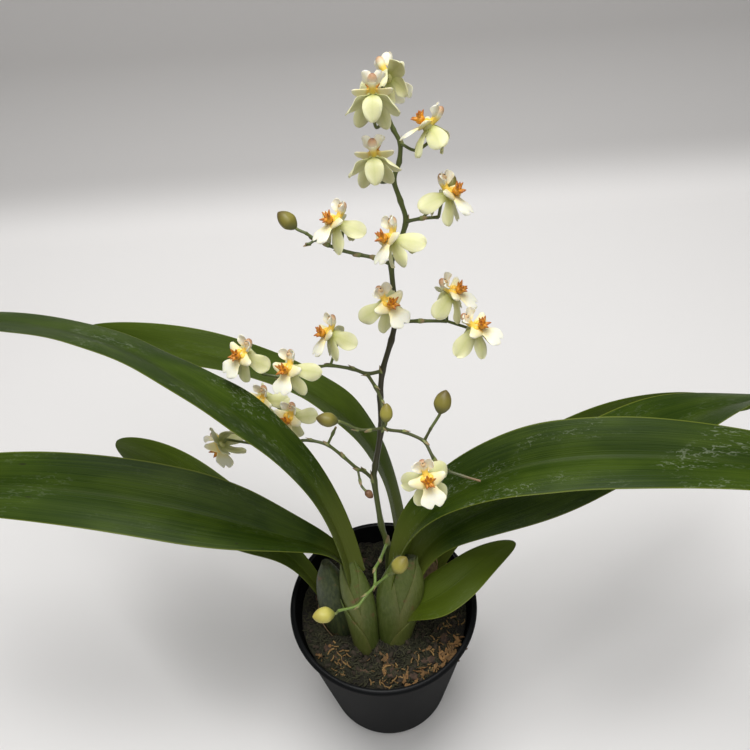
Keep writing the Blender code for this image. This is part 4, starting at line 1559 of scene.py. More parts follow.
def growths() -> list[Growth]:
    """The four growths with their leaves.

    Returns:
        The growths, in the order in which they are built.
    """
    (upper_left, lower_left, back, far_right, short_left, upper_right, lower_right,
     short_right) = (Leaf(name, *sizes, look.value)
                     for name, (*sizes, look) in LEAVES.items())
    pale = (0.200, 0.270, 0.070)
    green = (0.100, 0.175, 0.030)
    dark_bulb = (0.030, 0.058, 0.030)
    return [
        Growth("left_growth",
               (((-7.6, -14.4, 66), 4.2, 3.8), ((-8.2, -13.4, 75), 4.6, 4.2),
                ((-9.2, -8.5, 90), 5.4, 4.2), ((-11.6, -2.0, 104), 5.6, 3.4),
                ((-13.2, 2.4, 112), 4.4, 2.0)),
               (upper_left, lower_left), wraps=(
                   (180, 105, 0.05, 1.04, 0.15, pale, 0.5),
                   (0, 100, 0.05, 1.00, 0.35, green, 0.4),
                   (200, 95, 0.05, 0.62, 0.60, pale, 0.8)), pinch=0.48),
        Growth("right_growth",
               (((3.6, -12.2, 66), 5.4, 4.6), ((4.2, -11.0, 75), 6.4, 5.2),
                ((6.4, -7.0, 90), 8.4, 5.0), ((8.8, -2.0, 103), 9.4, 4.0),
                ((10.4, 2.0, 111), 8.6, 2.2)),
               (upper_right, lower_right, short_right), wraps=(
                   (0, 100, 0.05, 1.03, 0.15, pale, 0.4),
                   (180, 100, 0.05, 1.03, 0.35, green, 0.4),
                   (-20, 95, 0.05, 0.55, 0.60, pale, 0.6)), pinch=0.50),
        Growth("dark_growth",
               (((-18.0, -6.4, 66), 4.4, 4.2), ((-18.6, -4.8, 75), 6.8, 6.0),
                ((-19.8, -2.2, 87), 7.4, 6.2), ((-21.0, 1.0, 99), 5.6, 4.8),
                ((-22.0, 3.8, 108), 1.8, 1.6)),
               (short_left,), bulb_colour=dark_bulb, top_colour=(0.060, 0.110, 0.040),
               papery=((150, 80, 0.05, 0.42, 0.35, pale, 0.8),)),
        Growth("back_growth",
               (((15.5, 11.0, 66), 6.4, 3.6), ((15.5, 12.0, 75), 8.0, 3.8),
                ((15.5, 13.4, 84), 7.6, 3.0), ((16.0, 14.8, 91), 5.0, 1.6)),
               (back, far_right), papery=(
                   (-60, 100, 0.05, 0.98, 0.25, pale, 0.8),
                   (20, 90, 0.05, 0.80, 0.50, pale, 1.2))),
    ]


# Flower stem

# A run of the stem: its nodes, and the radius at its start and at its end.
STEM_RUNS = {
    "main": (
        ((3.0, 8.2, 66.0), (3.2, 9.6, 86), (3.3, 12.6, 105), (1.5, 15.5, 114.5),
         (-0.1, 22, 136.4), (0.8, 24, 143), (4, 28.8, 159), (4.5, 33.1, 173),
         (5.9, 36.1, 183.3), (9.8, 39.7, 195), (11.5, 41.7, 201.8), (11.6, 44.1, 209.8),
         (11.1, 47.9, 222.6), (12.9, 49, 226), (16.8, 52.1, 236.4), (15.2, 54.1, 243.2),
         (13.3, 56.1, 249.8), (15.4, 57.8, 255.2), (16, 59.4, 260.7), (14, 60.7, 264.8),
         (12.4, 62, 269)), 1.35, 0.75),
    "low": (
        ((3.3, 12.6, 105.1), (0.1, 1.4, 110.9), (-2.1, -3.1, 112.1), (-2.5, -9.8, 111.2),
         (-6.1, -13.8, 111.5), (-9.5, -18.1, 111.5), (-16.9, -20.5, 113.3)), 0.7, 0.55),
    "low_side": (((-2.5, -9.8, 111.2), (2.9, -9.2, 117.4)), 0.6, 0.5),
    "left": (
        ((-0.1, 22, 136.4), (-3.7, 22.9, 141.7), (-6.1, 22.4, 143.9), (-11.3, 24.6, 149.6),
         (-16.8, 26.8, 154.6), (-23, 28, 156.4), (-29, 27.8, 157), (-38.6, 26.8, 157),
         (-45.9, 27.6, 157.6)), 0.8, 0.55),
    "left_stub": (((-16.8, 26.8, 154.6), (-14.6, 28.8, 158.2), (-13, 30, 161)), 0.55, 0.5),
    "left_dry": (((-6.1, 22.4, 143.9), (-5.5, 18.7, 141.7), (-5.1, 17.1, 140.1)), 0.5, 0.45),
    "mid": (
        ((5.9, 36.1, 183.3), (0.3, 34, 184.5), (-4.6, 34.1, 187.4), (-12.4, 33.3, 190.8),
         (-16.3, 31, 192.8)), 0.8, 0.6),
    "mid_far": (
        ((-16.3, 31, 192.8), (-23.2, 30.4, 190.2), (-30.3, 30.6, 189.6),
         (-36.4, 31.4, 190.6)), 0.6, 0.5),
    "hanging": (
        ((0.3, 34, 184.5), (3.1, 26.2, 185.2), (4.9, 19.1, 185.3), (4.9, 8.1, 184.4),
         (11.5, 4.2, 186.2), (17.7, -0.8, 186.9), (20.3, -5.5, 183.7), (24.6, -5.4, 176.6),
         (29.9, -7.6, 175.6), (35.4, -10.5, 176.1)), 0.7, 0.5),
    "hanging_left": (
        ((4.9, 8.1, 184.4), (0.2, 6.5, 185.7), (-3.9, 6.2, 186.8), (-7, 6.8, 188.7)), 0.6, 0.5),
    "hanging_right": (((17.7, -0.8, 186.9), (20.1, 0.8, 191.3)), 0.55, 0.5),
    "right": (((11.5, 41.7, 201.8), (19.6, 34.1, 208.3), (28.3, 30.7, 210.5)), 0.75, 0.6),
    "upper_left": (
        ((11.1, 47.9, 222.6), (5.7, 43.7, 228.8), (0.6, 43.9, 230.4), (-5.3, 44.5, 232.3),
         (-9.3, 45, 234.3), (-13.2, 46.5, 235.7), (-16.1, 47.3, 237.9)), 0.75, 0.55),
    "upper_left_stub": (
        ((-13.2, 46.5, 235.7), (-15.2, 46, 234.6), (-16.6, 45.6, 234.9)), 0.5, 0.45),
    "upper_right": (((16.8, 52.1, 236.4), (21.4, 46.6, 241), (26.7, 45.2, 242)), 0.7, 0.55),
}

# A bloom: junction, azimuth and elevation it faces, roll of its column,
# the stem node its pedicel leaves from, and the pedicel's knee in its axes.
BLOOMS = {
    "top_front": ((8.0, 58.0, 277.6), 87, 22, 2, (12.4, 62, 269), (1, -6, -7)),
    "top_back": ((13.5, 74.0, 275.7), 69, -10, -40, (12.4, 62, 269), (-5, -6, -5)),
    "top_right": ((24.2, 53.6, 269.0), 145, 51, 34, (16, 59.4, 260.7), (1, -4, -7)),
    "high_left": ((7.4, 51.8, 260.6), 88, 24, -4, (13.3, 56.1, 249.8), (1, -4, -7)),
    "high_right": ((29.7, 44.7, 250.5), -9, 50, -29, (26.7, 45.2, 242), (-1, -7, -2)),
    "shoulder_left": ((-6.0, 47.9, 240.9), -169, 55, 23, (-5.3, 44.5, 232.3), (-1, -6, -4)),
    "centre_high": ((11.2, 37.6, 240.4), -173, 38, 41, (15.4, 50.6, 231.5), (7, -8, 1)),
    "centre_mid": ((8.6, 32.6, 218.2), -57, 49, 10, (11.6, 44.1, 209.8), (-7, -10, -1)),
    "right_high": ((30.4, 35.4, 218.4), -7, 54, -3, (28.3, 30.7, 210.5), (1, -4, -1)),
    "right_low": ((37.3, 26.0, 210.6), -22, 65, -3, (28.3, 30.7, 210.5), (-5, -6, 0)),
    "mid_top": ((-11.7, 38.6, 201.2), -176, 39, 30, (-12.4, 33.3, 190.8), (-1, -4, -3)),
    "mid_front": ((-25.8, 25.2, 198.4), -139, 50, 20, (-16.3, 31, 192.8), (-3, -6, -1)),
    "mid_left": ((-41.9, 32.4, 199.6), -137, 48, -10, (-36.4, 31.4, 190.6), (-3, -6, -1)),
    "low_left": ((-40.8, 42.2, 165.5), -128, 35, 0, (-29, 27.8, 157), (-9, -4, -3)),
    "low_inner": ((-29.5, 30.8, 167.8), -119, 31, -7, (-29, 27.8, 157), (-1, -4, -5)),
    "low_far": ((-56.7, 26.1, 160.1), -175, -45, 66, (-45.9, 27.6, 157.6), (3, -4, -1)),
    "front": ((17.4, -13.7, 183.5), -89, 52, 12, (24.6, -5.4, 176.6), (-5, -7, 0)),
}

# A bud: root, tip, width, the stem node its pedicel leaves from, and its tone.
BUDS = {
    "bud_shoulder": ((-19.2, 48.4, 239.4), (-24.6, 51.6, 243.6), 5.6,
                     (-16.1, 47.3, 237.9), "olive"),
    "bud_right": ((23.2, 3.6, 195.2), (25.6, 7.2, 202.0), 5.8, (20.1, 0.8, 191.3), "olive"),
    "bud_centre": ((5.7, 8.4, 187.0), (6.4, 11.0, 193.4), 4.4, (4.9, 8.1, 184.4), "ripe"),
    "bud_left": ((-10.2, 7.0, 190.6), (-17.2, 7.2, 192.8), 5.0, (-7, 6.8, 188.7), "olive"),
    "bud_low": ((5.4, -9.4, 119.8), (10.2, -7.4, 126.4), 6.2, (2.9, -9.2, 117.4), "ripe"),
    "bud_low_left": ((-18.4, -21.8, 113.8), (-26.2, -23.8, 116.2), 6.2,
                     (-16.9, -20.5, 113.3), "pale"),
    "bud_high_right": ((31.0, 56.4, 243.4), (33.4, 60.0, 247.6), 3.6,
                       (21.4, 46.6, 241), "olive"),
    "bud_dried": ((-3.6, 15.2, 139.4), (-1.0, 13.0, 137.4), 2.9,
                  (-5.1, 17.1, 140.1), "dried"),
}


def bloom_frame(spec: tuple) -> Matrix:
    """Matrix from a bloom's own axes to the plant: +Y faces, +Z is the column.

    Args:
        spec: the bloom's line of the table.

    Returns:
        The matrix, in millimetres.
    """
    spot, azimuth, elevation, roll = spec[:4]
    az, el, ro = (math.radians(v) for v in (azimuth, elevation, roll))
    face = Vector((math.cos(el) * math.cos(az), math.cos(el) * math.sin(az), math.sin(el)))
    up = Vector((0, 0, 1)) - face.z * face
    up.normalize()
    column = math.cos(ro) * up + math.sin(ro) * face.cross(up)
    side = face.cross(column)
    turn = Matrix((side, face, column)).transposed().to_4x4()
    return Matrix.Translation(spot) @ turn


@dataclass
class FlowerStem:
    """The zigzag stem with its side stems, pedicels, node swellings and bracts."""

    pedicel: float = 0.5
    pedicel_end: float = 0.62
    bud_stalk_end: float = 0.55
    zigzag: float = 0.45
    slim: float = 0.92
    swelling: float = 0.28
    long_bract: float = 5.5
    short_bract: float = 2.6
    green: Colour = (0.095, 0.120, 0.030)
    brown: Colour = (0.034, 0.026, 0.013)
    pale: Colour = (0.220, 0.240, 0.075)
    fresh: Colour = (0.150, 0.230, 0.045)
    dry: Colour = (0.230, 0.140, 0.070)
    bract_green: Colour = (0.20, 0.25, 0.07)
    bract_straw: Colour = (0.33, 0.24, 0.12)
    bract_tip: Colour = (0.1, 0.06, 0.03)
    points: list = field(default_factory=list)
    edges: list = field(default_factory=list)
    widths: list = field(default_factory=list)
    tints: list = field(default_factory=list)

    def tint(self, spot: np.ndarray, on_main: bool) -> np.ndarray:
        """Colour of the stem at a point.

        Args:
            spot: the point.
            on_main: whether it is on the main stem.

        Returns:
            The colour.
        """
        if on_main:
            share = ease((spot[2] - 128.0) / 22.0) * (1.0 - ease((spot[2] - 208.0) / 16.0))
            return blend(self.green, self.brown, share * 0.9)
        share = 0.45 * ease((spot[0] + 12.0) / 14.0) * ease((200.0 - spot[2]) / 10.0)
        low = ease((140.0 - spot[2]) / 14.0)
        return blend(blend(self.green, self.brown, share * (1.0 - low)), self.fresh, low)

    def line(self, points: np.ndarray, widths: np.ndarray, tints: np.ndarray) -> None:
        """Add one swept line.

        Args:
            points: its points.
            widths: radius at each point.
            tints: colour at each point.
        """
        start = len(self.points)
        self.points += points.tolist()
        self.widths += widths.tolist()
        self.tints += tints.tolist()
        self.edges += [(start + i, start + i + 1) for i in range(len(points) - 1)]

    def run(self, name: str, knots: tuple, thick: float, thin: float) -> None:
        """Add a run of the stem, a little swollen at its nodes.

        Args:
            name: its name.
            knots: its points, one at each node.
            thick: radius at its start.
            thin: radius at its end.
        """
        steps = 8
        fine = through(knots, steps)
        corners = np.array(knots, float)
        spots = np.arange(len(fine)) / steps
        straight = np.stack([np.interp(spots, np.arange(len(corners)), line)
                             for line in corners.T], 1)
        fine = fine + self.zigzag * (straight - fine)
        place_on = np.linspace(0, 1, len(fine))
        widths = self.slim * (thick + (thin - thick) * place_on)
        for i in range(0, len(fine), steps):
            near = np.abs(np.arange(len(fine)) - i) / steps
            widths = widths * (1 + self.swelling * np.exp(-(near / 0.16) ** 2))
        tints = np.array([self.tint(p, name == "main") for p in fine])
        if name.endswith("stub") or name.endswith("dry") or name == "hanging":
            fade = ease((place_on - 0.86) / 0.14)[:, None]
            tints = tints * (1 - fade) + np.array(self.dry) * fade
            widths = widths * (1 - 0.3 * fade[:, 0])
        self.line(fine, widths, tints)

    def stalk(self, knots: list, end_width: float) -> None:
        """Add a pedicel that swells and pales towards its flower.

        Args:
            knots: its points, from the stem outwards.
            end_width: radius at its end.
        """
        fine = through([tuple(k) for k in knots], 6)
        place_on = np.linspace(0, 1, len(fine))
        widths = self.pedicel + (end_width - self.pedicel) * ease((place_on - 0.55) / 0.45)
        tints = blend(self.green, self.pale, ease((place_on - 0.3) / 0.7))
        self.line(fine, widths, tints)

    def build(self) -> None:
        """Sweep every line with a node tree, then add the bracts."""
        for name, (knots, thick, thin) in STEM_RUNS.items():
            self.run(name, knots, thick, thin)
        for spec in BLOOMS.values():
            frame = bloom_frame(spec)
            self.stalk([Vector(spec[4]), frame @ Vector(spec[5]),
                        frame @ Vector((0, -3.6, -0.3)), frame @ Vector((0, -1.8, -0.3))],
                       self.pedicel_end)
        for root, tip, _, node, _ in BUDS.values():
            away = (Vector(tip) - Vector(root)).normalized()
            self.stalk([Vector(node), Vector(root) - away * 0.9,
                        Vector(root) + away * 0.2], self.bud_stalk_end)
        mesh = bpy.data.meshes.new("stem_lines")
        mesh.from_pydata([tuple(c * MM for c in p) for p in self.points], self.edges, [])
        width = mesh.attributes.new(WIDTH, "FLOAT", "POINT")
        width.data.foreach_set("value", np.array(self.widths, np.float32) * MM)
        paint = mesh.attributes.new(PAINT, "FLOAT_COLOR", "POINT")
        colours = np.hstack([np.array(self.tints), np.ones((len(self.tints), 1))])
        paint.data.foreach_set("color", colours.astype(np.float32).ravel())
        sweep = Growing("stem_sweep", {"Sides": 12, "Girth": 1.0})
        lines = sweep.node("GeometryNodeMeshToCurve", None, {0: sweep.named("Geometry")})
        ring = sweep.node("GeometryNodeCurvePrimitiveCircle", None, {
            "Resolution": sweep.named("Sides"), "Radius": sweep.named("Girth")})
        thick = sweep.node("GeometryNodeInputNamedAttribute", {"data_type": "FLOAT"},
                           {"Name": WIDTH})
        swept = sweep.node("GeometryNodeCurveToMesh", None, {
            "Curve": lines.outputs[0], "Profile Curve": ring.outputs[0],
            "Scale": thick.outputs[0], "Fill Caps": True})
        sweep.close(swept.outputs[0], STEM_SKIN.make())
        obj = sweep.grow("stem_and_pedicels", mesh)
        obj.data.shade_smooth()
        settle(obj, Slot.STEM, "flower_stem")
        self.bracts()

    def bracts(self) -> None:
        """Small clasping scales at the nodes, straw at the tip."""
        draft = Draft()
        for name, (knots, thick, thin) in STEM_RUNS.items():
            count = len(knots)
            for i in range(1, count - 1):
                if (name == "main" and i % 2) or (name == "hanging" and i > 6):
                    continue
                radius = thick + (thin - thick) * i / (count - 1)
                ahead = unit(np.subtract(knots[i + 1], knots[i]))
                turn = np.subtract(knots[i], knots[i - 1])
                turn = unit(turn - (turn @ ahead) * ahead + np.array((0.01, 0.02, 0.005)))
                long = name == "main" and i < 8
                self.bract(draft, np.array(knots[i], float), ahead, turn, radius,
                           self.long_bract if long else self.short_bract)
        skin = replace(STEM_SKIN, name="bract_skin")
        settle(draft.finish("stem_bracts", skin.make(), 60.0), Slot.STEM, "flower_stem")

    def bract(self, draft: Draft, foot: np.ndarray, ahead: np.ndarray, out: np.ndarray,
              radius: float, length: float) -> None:
        """Add one scale.

        Args:
            draft: where it goes.
            foot: the stem's centre at its root.
            ahead: direction of the stem.
            out: side that it clasps.
            radius: radius of the stem there.
            length: length of the scale.
        """
        out = unit(out - (out @ ahead) * ahead)
        other = np.cross(ahead, out)
        rows, columns = 10, 9
        grid, paint = blank(rows, columns)
        for i in range(rows):
            up = i / (rows - 1)
            spread = 1.5 * (1 - up ** 1.6) + 0.05
            lift = radius * 1.08 + 0.12 + 0.35 * up * up
            for k, q in enumerate(np.linspace(-1, 1, columns)):
                angle = q * spread
                grid[i, k] = (foot + ahead * (up * length - 0.4)
                              + lift * (math.cos(angle) * out + math.sin(angle) * other))
            paint[i] = blend(blend(self.bract_green, self.bract_straw, ease(up * 1.3)),
                             self.bract_tip, 0.5 * up ** 6)
        draft.sheet(grid, 0.16, paint)


# Blooms


@dataclass(frozen=True)
class Blade:
    """Sizes of a tepal or wing.

    cup is how far the middle sinks as a share of the half width, start the share of the
    width at the root, peak the place where it is widest, tip how blunt the end is and
    ruffle the height of the ripples at the edge.
    """

    length: float
    width: float
    cup: float
    start: float
    peak: float
    tip: float
    ruffle: float
    thick: float = 0.34


DORSAL = Blade(8.2, 5.9, 0.12, 0.48, 0.62, 2.1, 0.60)
PETAL = Blade(8.2, 6.3, 0.12, 0.50, 0.68, 2.0, 0.80)
SEPAL = Blade(8.0, 5.2, 0.14, 0.55, 0.62, 2.0, 0.60)
WING = Blade(3.7, 3.6, -0.25, 0.75, 0.50, 3.4, 0.75, 0.22)


@dataclass
class Bloom:
    """One flower: reflexed tepals, horned side lobes, notched lip, hooded column."""

    name: str
    spec: tuple
    rng: random.Random
    finish: bpy.types.Material
    crest_finish: bpy.types.Material
    tepal: Colour = (0.620, 0.612, 0.280)
    tepal_edge: Colour = (0.800, 0.780, 0.510)
    tepal_root: Colour = (0.430, 0.460, 0.110)
    cream: Colour = (0.860, 0.770, 0.410)
    white: Colour = (0.850, 0.835, 0.690)
    yellow: Colour = (0.880, 0.560, 0.025)
    brown: Colour = (0.340, 0.130, 0.045)
    crest_centre: Point = (0.0, 2.92, -1.0)
    crest_deep: Colour = (0.70, 0.30, 0.012)
    crest_burnt: Colour = (0.430, 0.125, 0.010)
    wing_paints: tuple = ((0.84, 0.72, 0.36), (0.86, 0.82, 0.64), (0.90, 0.88, 0.76))

    def vary(self, amount: float) -> float:
        """A random value either side of nothing."""
        return self.rng.uniform(-amount, amount)

    @staticmethod
    def petal(draft: Draft, blade: Blade, root: Point, aim: Point, bend: Point,
              phase: float, paints: tuple) -> None:
        """Add a rounded, slightly wavy blade.

        Args:
            draft: where it goes.
            blade: its sizes.
            root: middle of its root.
            aim: direction it leaves in.
            bend: vector added towards the tip, as a share of the length.
            phase: shifts its ripples.
            paints: colours of the root, the blade and the edge.
        """
        aim = unit(aim)
        bend = np.asarray(bend, float)
        side = unit(np.cross(aim, (0.0, 1.0, 0.0)))
        rows, columns = 17, 13
        across_at = np.linspace(-1, 1, columns)
        grid, paint = blank(rows, columns)
        for i in range(rows):
            p = 1 - (1 - 0.985 * i / (rows - 1)) ** 1.25
            centre = np.asarray(root, float) + blade.length * (p * aim + p * p * bend)
            along = unit(aim + 2 * p * bend)
            across = unit(side - (side @ along) * along)
            normal = np.cross(along, across)
            beyond = max(0.0, (p - blade.peak) / (1 - blade.peak))
            swell = blade.start + (1 - blade.start) * ease(p / blade.peak)
            round_off = math.sqrt(max(0.0, 1 - beyond ** blade.tip))
            half = 0.5 * blade.width * swell * round_off + 0.02
            for k, q in enumerate(across_at):
                wave = abs(q) * q * math.sin(5.2 * p + phase + 1.1 * q)
                wave += 0.35 * q * q * math.sin(11.0 * p - phase + 2.0 * q)
                wave *= blade.ruffle * p
                sink = blade.cup * half * (q * q - 0.35)
                rib = -0.10 * math.exp(-(q / 0.12) ** 2) * (1 - p)
                grid[i, k] = centre + across * half * q + normal * (sink + wave + rib)
            edge = 0.6 * ease((np.abs(across_at) - 0.35) / 0.65)
            edge = edge + 0.4 * ease((p - 0.55) / 0.45)
            shade = blend(paints[1], paints[2], edge)
            vein = 0.30 * np.cos(across_at * 15.7) ** 2
            vein = vein + 0.25 * np.exp(-(across_at / 0.1) ** 2)
            shade = blend(shade, paints[0], vein * (1 - 0.6 * p))
            paint[i] = blend(paints[0], shade, ease(p / 0.42))
        draft.sheet(grid, blade.thick, paint)

    def horn(self, draft: Draft, hand: int, lift: float) -> None:
        """Add a side lobe: a thick cream horn with a rolled end.

        Args:
            draft: where it goes.
            hand: -1 or 1, the side.
            lift: how far it points up.
        """
        root = np.array((hand * 0.9, 0.9, -0.7))
        aim = unit((hand * 0.96, lift, 0.05))
        rings = []
        shades = []
        for step in range(15):
            p = step / 14
            centre = root + 5.4 * (p * aim + p * p * np.array((0.0, -0.12, 0.0)))
            centre = centre + np.array((0, 0.10, 0.70)) * p * p
            swell = (1.0 - 0.35 * ease(p / 0.8)) * math.sqrt(max(0.0, 1 - (p * 0.985) ** 5))
            angle = around(18)
            high = 2.45 * swell * np.sin(angle)
            deep = 0.66 * (0.4 + 0.6 * swell) * np.cos(angle)
            deep = deep - 0.30 * swell * (np.sin(angle) ** 2) + 0.1
            rings.append(centre + np.stack([0 * angle, deep, high], 1))
            shades.append(blend(blend(self.yellow, self.cream, ease(p / 0.32)),
                                self.white, ease((p - 0.5) / 0.5) * 0.6))
        draft.loft(np.array(rings), np.array(shades))

    def lip(self, draft: Draft, tune: float) -> None:
        """Add the lip's middle lobe: a narrow neck, then a broad notched blade.

        Args:
            draft: where it goes.
            tune: shifts the ripple of its edge.
        """
        rows, columns = 25, 17
        grid, paint = blank(rows, columns)
        halves = through([(2.3,), (2.2,), (2.7,), (3.7,), (4.2,), (3.9,), (2.9,)], 8)
        for i in range(rows):
            p = i / (rows - 1)
            half = float(np.interp(p, np.linspace(0, 1, len(halves)), halves[:, 0]))
            late = ease((p - 0.62) / 0.38)
            for k, q in enumerate(np.linspace(-1, 1, columns)):
                y = 0.9 + 2.4 * p - 1.6 * p * p - 0.5 * q * q * ease(p / 0.5)
                y += 0.30 * math.sin(4 * q + tune) * late * q
                z = -1.3 - 8.2 * p
                z += 1.25 * math.exp(-(q / 0.26) ** 2) * late
                z += 0.9 * abs(q) ** 3 * late
                grid[i, k] = (half * q, y, z)
            paint[i] = blend(blend(self.yellow, self.cream, ease(p / 0.2)), self.white,
                             ease((p - 0.25) / 0.35))
        draft.sheet(grid, 0.36, paint)

    def column(self, draft: Draft) -> None:
        """Add the column: yellow neck, cream hood and brown cap.

        Args:
            draft: where it goes.
        """
        path = through([(0, 0.2, 0.4), (0, 0.4, 1.6), (0, 0.7, 3.0), (0, 1.3, 4.4)], 5)
        share = np.linspace(0, 1, len(path))
        radii = 1.10 - 0.20 * np.sin(share * math.pi) + 0.35 * share
        shades = blend(blend((0.86, 0.72, 0.16), (0.90, 0.62, 0.05), ease(share / 0.5)),
                       (0.88, 0.84, 0.60), ease((share - 0.6) / 0.4))
        draft.tube(path, radii, shades, 12)
        turn = Matrix.Rotation(math.radians(-22), 4, "X")
        cap = np.linspace(0, 1, 14)
        shades = blend(blend(self.brown, (0.60, 0.36, 0.18), ease(cap / 0.35)),
                       (0.84, 0.77, 0.55), ease((cap - 0.25) / 0.4))
        draft.ball((0, 1.55, 4.75), (1.50, 1.35, 1.95), shades[::-1], 14, 18, turn)
        draft.ball((0, 2.75, 4.75), (0.75, 0.5, 0.8), (0.66, 0.44, 0.20), 7, 10)
        draft.ball((0, 3.15, 5.25), (0.26, 0.24, 0.26), (0.03, 0.02, 0.015), 5, 8)

    def build(self) -> None:
        """Build the flower and its crest."""
        frame = bloom_frame(self.spec)
        tune = 0.37 * sum(map(ord, self.name))
        draft = Draft(frame)
        paints = (self.tepal_root, self.tepal, self.tepal_edge)
        draft.ball((0, 0, -0.3), (1.75, 1.75, 1.75), blend(self.tepal_root, self.cream, 0.4))
        self.petal(draft, DORSAL, (0, -0.7, 0.7), (self.vary(0.06), -0.6, 0.8),
                   (0, -0.45, -1.0), 0.4, paints)
        shapes = []
        for hand in (-1, 1):
            petal = ((hand * 0.84, -0.45 + self.vary(0.1), 0.22 + self.vary(0.12)),
                     (0, -0.32 + self.vary(0.12), -0.05))
            sepal = ((hand * 0.5, -0.35 + self.vary(0.1), -0.8),
                     (0, -0.25 + self.vary(0.1), 0.0))
            lift = 0.28 + self.vary(0.12)
            shapes.append((hand, petal, sepal, lift))
        for hand, petal, sepal, lift in shapes:
            self.petal(draft, PETAL, (hand * 0.9, -0.6, 0.1), petal[0], petal[1],
                       1.3 * hand + tune, paints)
            self.petal(draft, SEPAL, (hand * 0.7, -0.5, -1.1), sepal[0], sepal[1],
                       2.1 * hand + tune, paints)
            self.horn(draft, hand, lift)
            self.petal(draft, WING, (hand * 0.7, 1.3, 3.6), (hand * 0.62, 0.62, 0.46),
                       (0, 0.1, 0.05), 0.8 * hand, self.wing_paints)
            draft.ball((hand * 1.35, 1.45, 0.15), (1.05, 0.8, 1.0), self.yellow, 7, 12)
        self.lip(draft, tune)
        self.column(draft)
        settle(draft.finish("flower_" + self.name, self.finish, 55.0), Slot.BLOOM,
               "bloom_" + self.name)
        self.crest(frame)

    def crest(self, frame: Matrix) -> None:
        """Build the orange crest: a warty knob with pointed tubercles.

        Args:
            frame: the flower's matrix.
        """
        rng = random.Random(sum(map(ord, self.name)))
        draft = Draft(frame)
        centre = np.array(self.crest_centre)
        draft.ball(self.crest_centre, (1.7, 1.25, 1.5), self.crest_deep, 8, 14)
        turns = ((90, 0.75, 3.0), (18, 0.70, 3.2), (162, 0.70, 3.2), (-54, 0.85, 2.9),
                 (234, 0.85, 2.9), (54, 0.45, 2.7), (126, 0.45, 2.7), (-90, 0.55, 2.5),
                 (0, 0.05, 2.1))
        for turn, lean, reach in turns:
            angle = math.radians(turn + rng.uniform(-6, 6))
            aim = unit((lean * math.cos(angle), 0.62, lean * math.sin(angle)))
            path = []
            radii = []
            hook = np.array((rng.uniform(-0.2, 0.2), rng.uniform(-0.05, 0.15),
                             rng.uniform(-0.2, 0.2)))
            for step in range(7):
                p = step / 6
                path.append(centre + aim * (0.3 + (reach - 0.3) * p) + hook * p * p)
                radii.append(0.72 * (1 - p) ** 0.75 + 0.12)
            share = ease((np.linspace(0, 1, 7) - 0.35) / 0.6)
            draft.tube(path, radii, blend(self.crest_deep, self.crest_burnt, share), 7)
        settle(draft.finish("tubercles_" + self.name, self.crest_finish, 60.0),
               Slot.CREST, "crest_" + self.name)


# Buds


class BudTone(Enum):
    """How far a bud has come."""

    OLIVE = "olive"
    RIPE = "ripe"
    PALE = "pale"
    DRIED = "dried"


# Colour at a bud's foot, in its middle and at its tip.
BUD_TINTS = {
    BudTone.OLIVE: ((0.100, 0.105, 0.018), (0.215, 0.185, 0.030), (0.110, 0.080, 0.016)),
    BudTone.RIPE: ((0.170, 0.175, 0.028), (0.350, 0.310, 0.055), (0.220, 0.180, 0.030)),
    BudTone.PALE: ((0.260, 0.270, 0.050), (0.520, 0.470, 0.100), (0.420, 0.350, 0.070)),
    BudTone.DRIED: ((0.120, 0.055, 0.025), (0.230, 0.115, 0.050), (0.160, 0.070, 0.030)),
}


@dataclass
class Bud:
    """A plump closed bud with three seams."""

    name: str
    root: Point
    tip: Point
    width: float
    tone: BudTone
    finish: bpy.types.Material
    sides: int = 36

    def build(self) -> None:
        """Build the bud."""
        along = Vector(self.tip) - Vector(self.root)
        turn = along.to_track_quat("Z", "X").to_matrix().to_4x4()
        draft = Draft(Matrix.Translation(self.root) @ turn)
        length = along.length
        profile = through([(0.0, 0.14), (0.12, 0.31), (0.36, 0.49), (0.66, 0.44),
                           (0.88, 0.25), (1.0, 0.05)], 5)
        angle = around(self.sides)
        rings = []
        for place_on, share in profile:
            seam = 1.0 - 0.10 * np.abs(np.cos(1.5 * angle)) ** 10 * math.sin(
                math.pi * min(1.0, 0.15 + place_on))
            if self.tone is BudTone.DRIED:
                seam = seam * (1.0 + 0.10 * np.sin(7 * angle + 9 * place_on))
            radius = self.width * share * seam
            rings.append(np.stack([radius * np.cos(angle), radius * np.sin(angle),
                                   np.full(self.sides, length * place_on)], 1))
        share = profile[:, 0]
        foot, middle, end = BUD_TINTS[self.tone]
        shades = blend(blend(foot, middle, ease(share / 0.45)), end,
                       ease((share - 0.55) / 0.45))
        draft.loft(np.array(rings), shades)
        slot = Slot.DRIED if self.tone is BudTone.DRIED else Slot.BUD
        settle(draft.finish("closed_" + self.name, self.finish, 60.0), slot, self.name)


# Stage


@dataclass(frozen=True)
class Lamp:
    """A soft square light, with sizes in millimetres and power in watts."""

    name: str
    spot: Point
    target: Point
    size: float
    power: float

    def hang(self) -> None:
        """Add the light."""
        lamp = bpy.data.lights.new(self.name, "AREA")
        lamp.shape = "SQUARE"
        lamp.size = self.size * MM
        lamp.energy = self.power
        obj = place(self.name, lamp)
        obj.location = Vector(self.spot) * MM
        aim = (Vector(self.target) - Vector(self.spot)).normalized()
        obj.rotation_euler = aim.to_track_quat("-Z", "Y").to_euler()


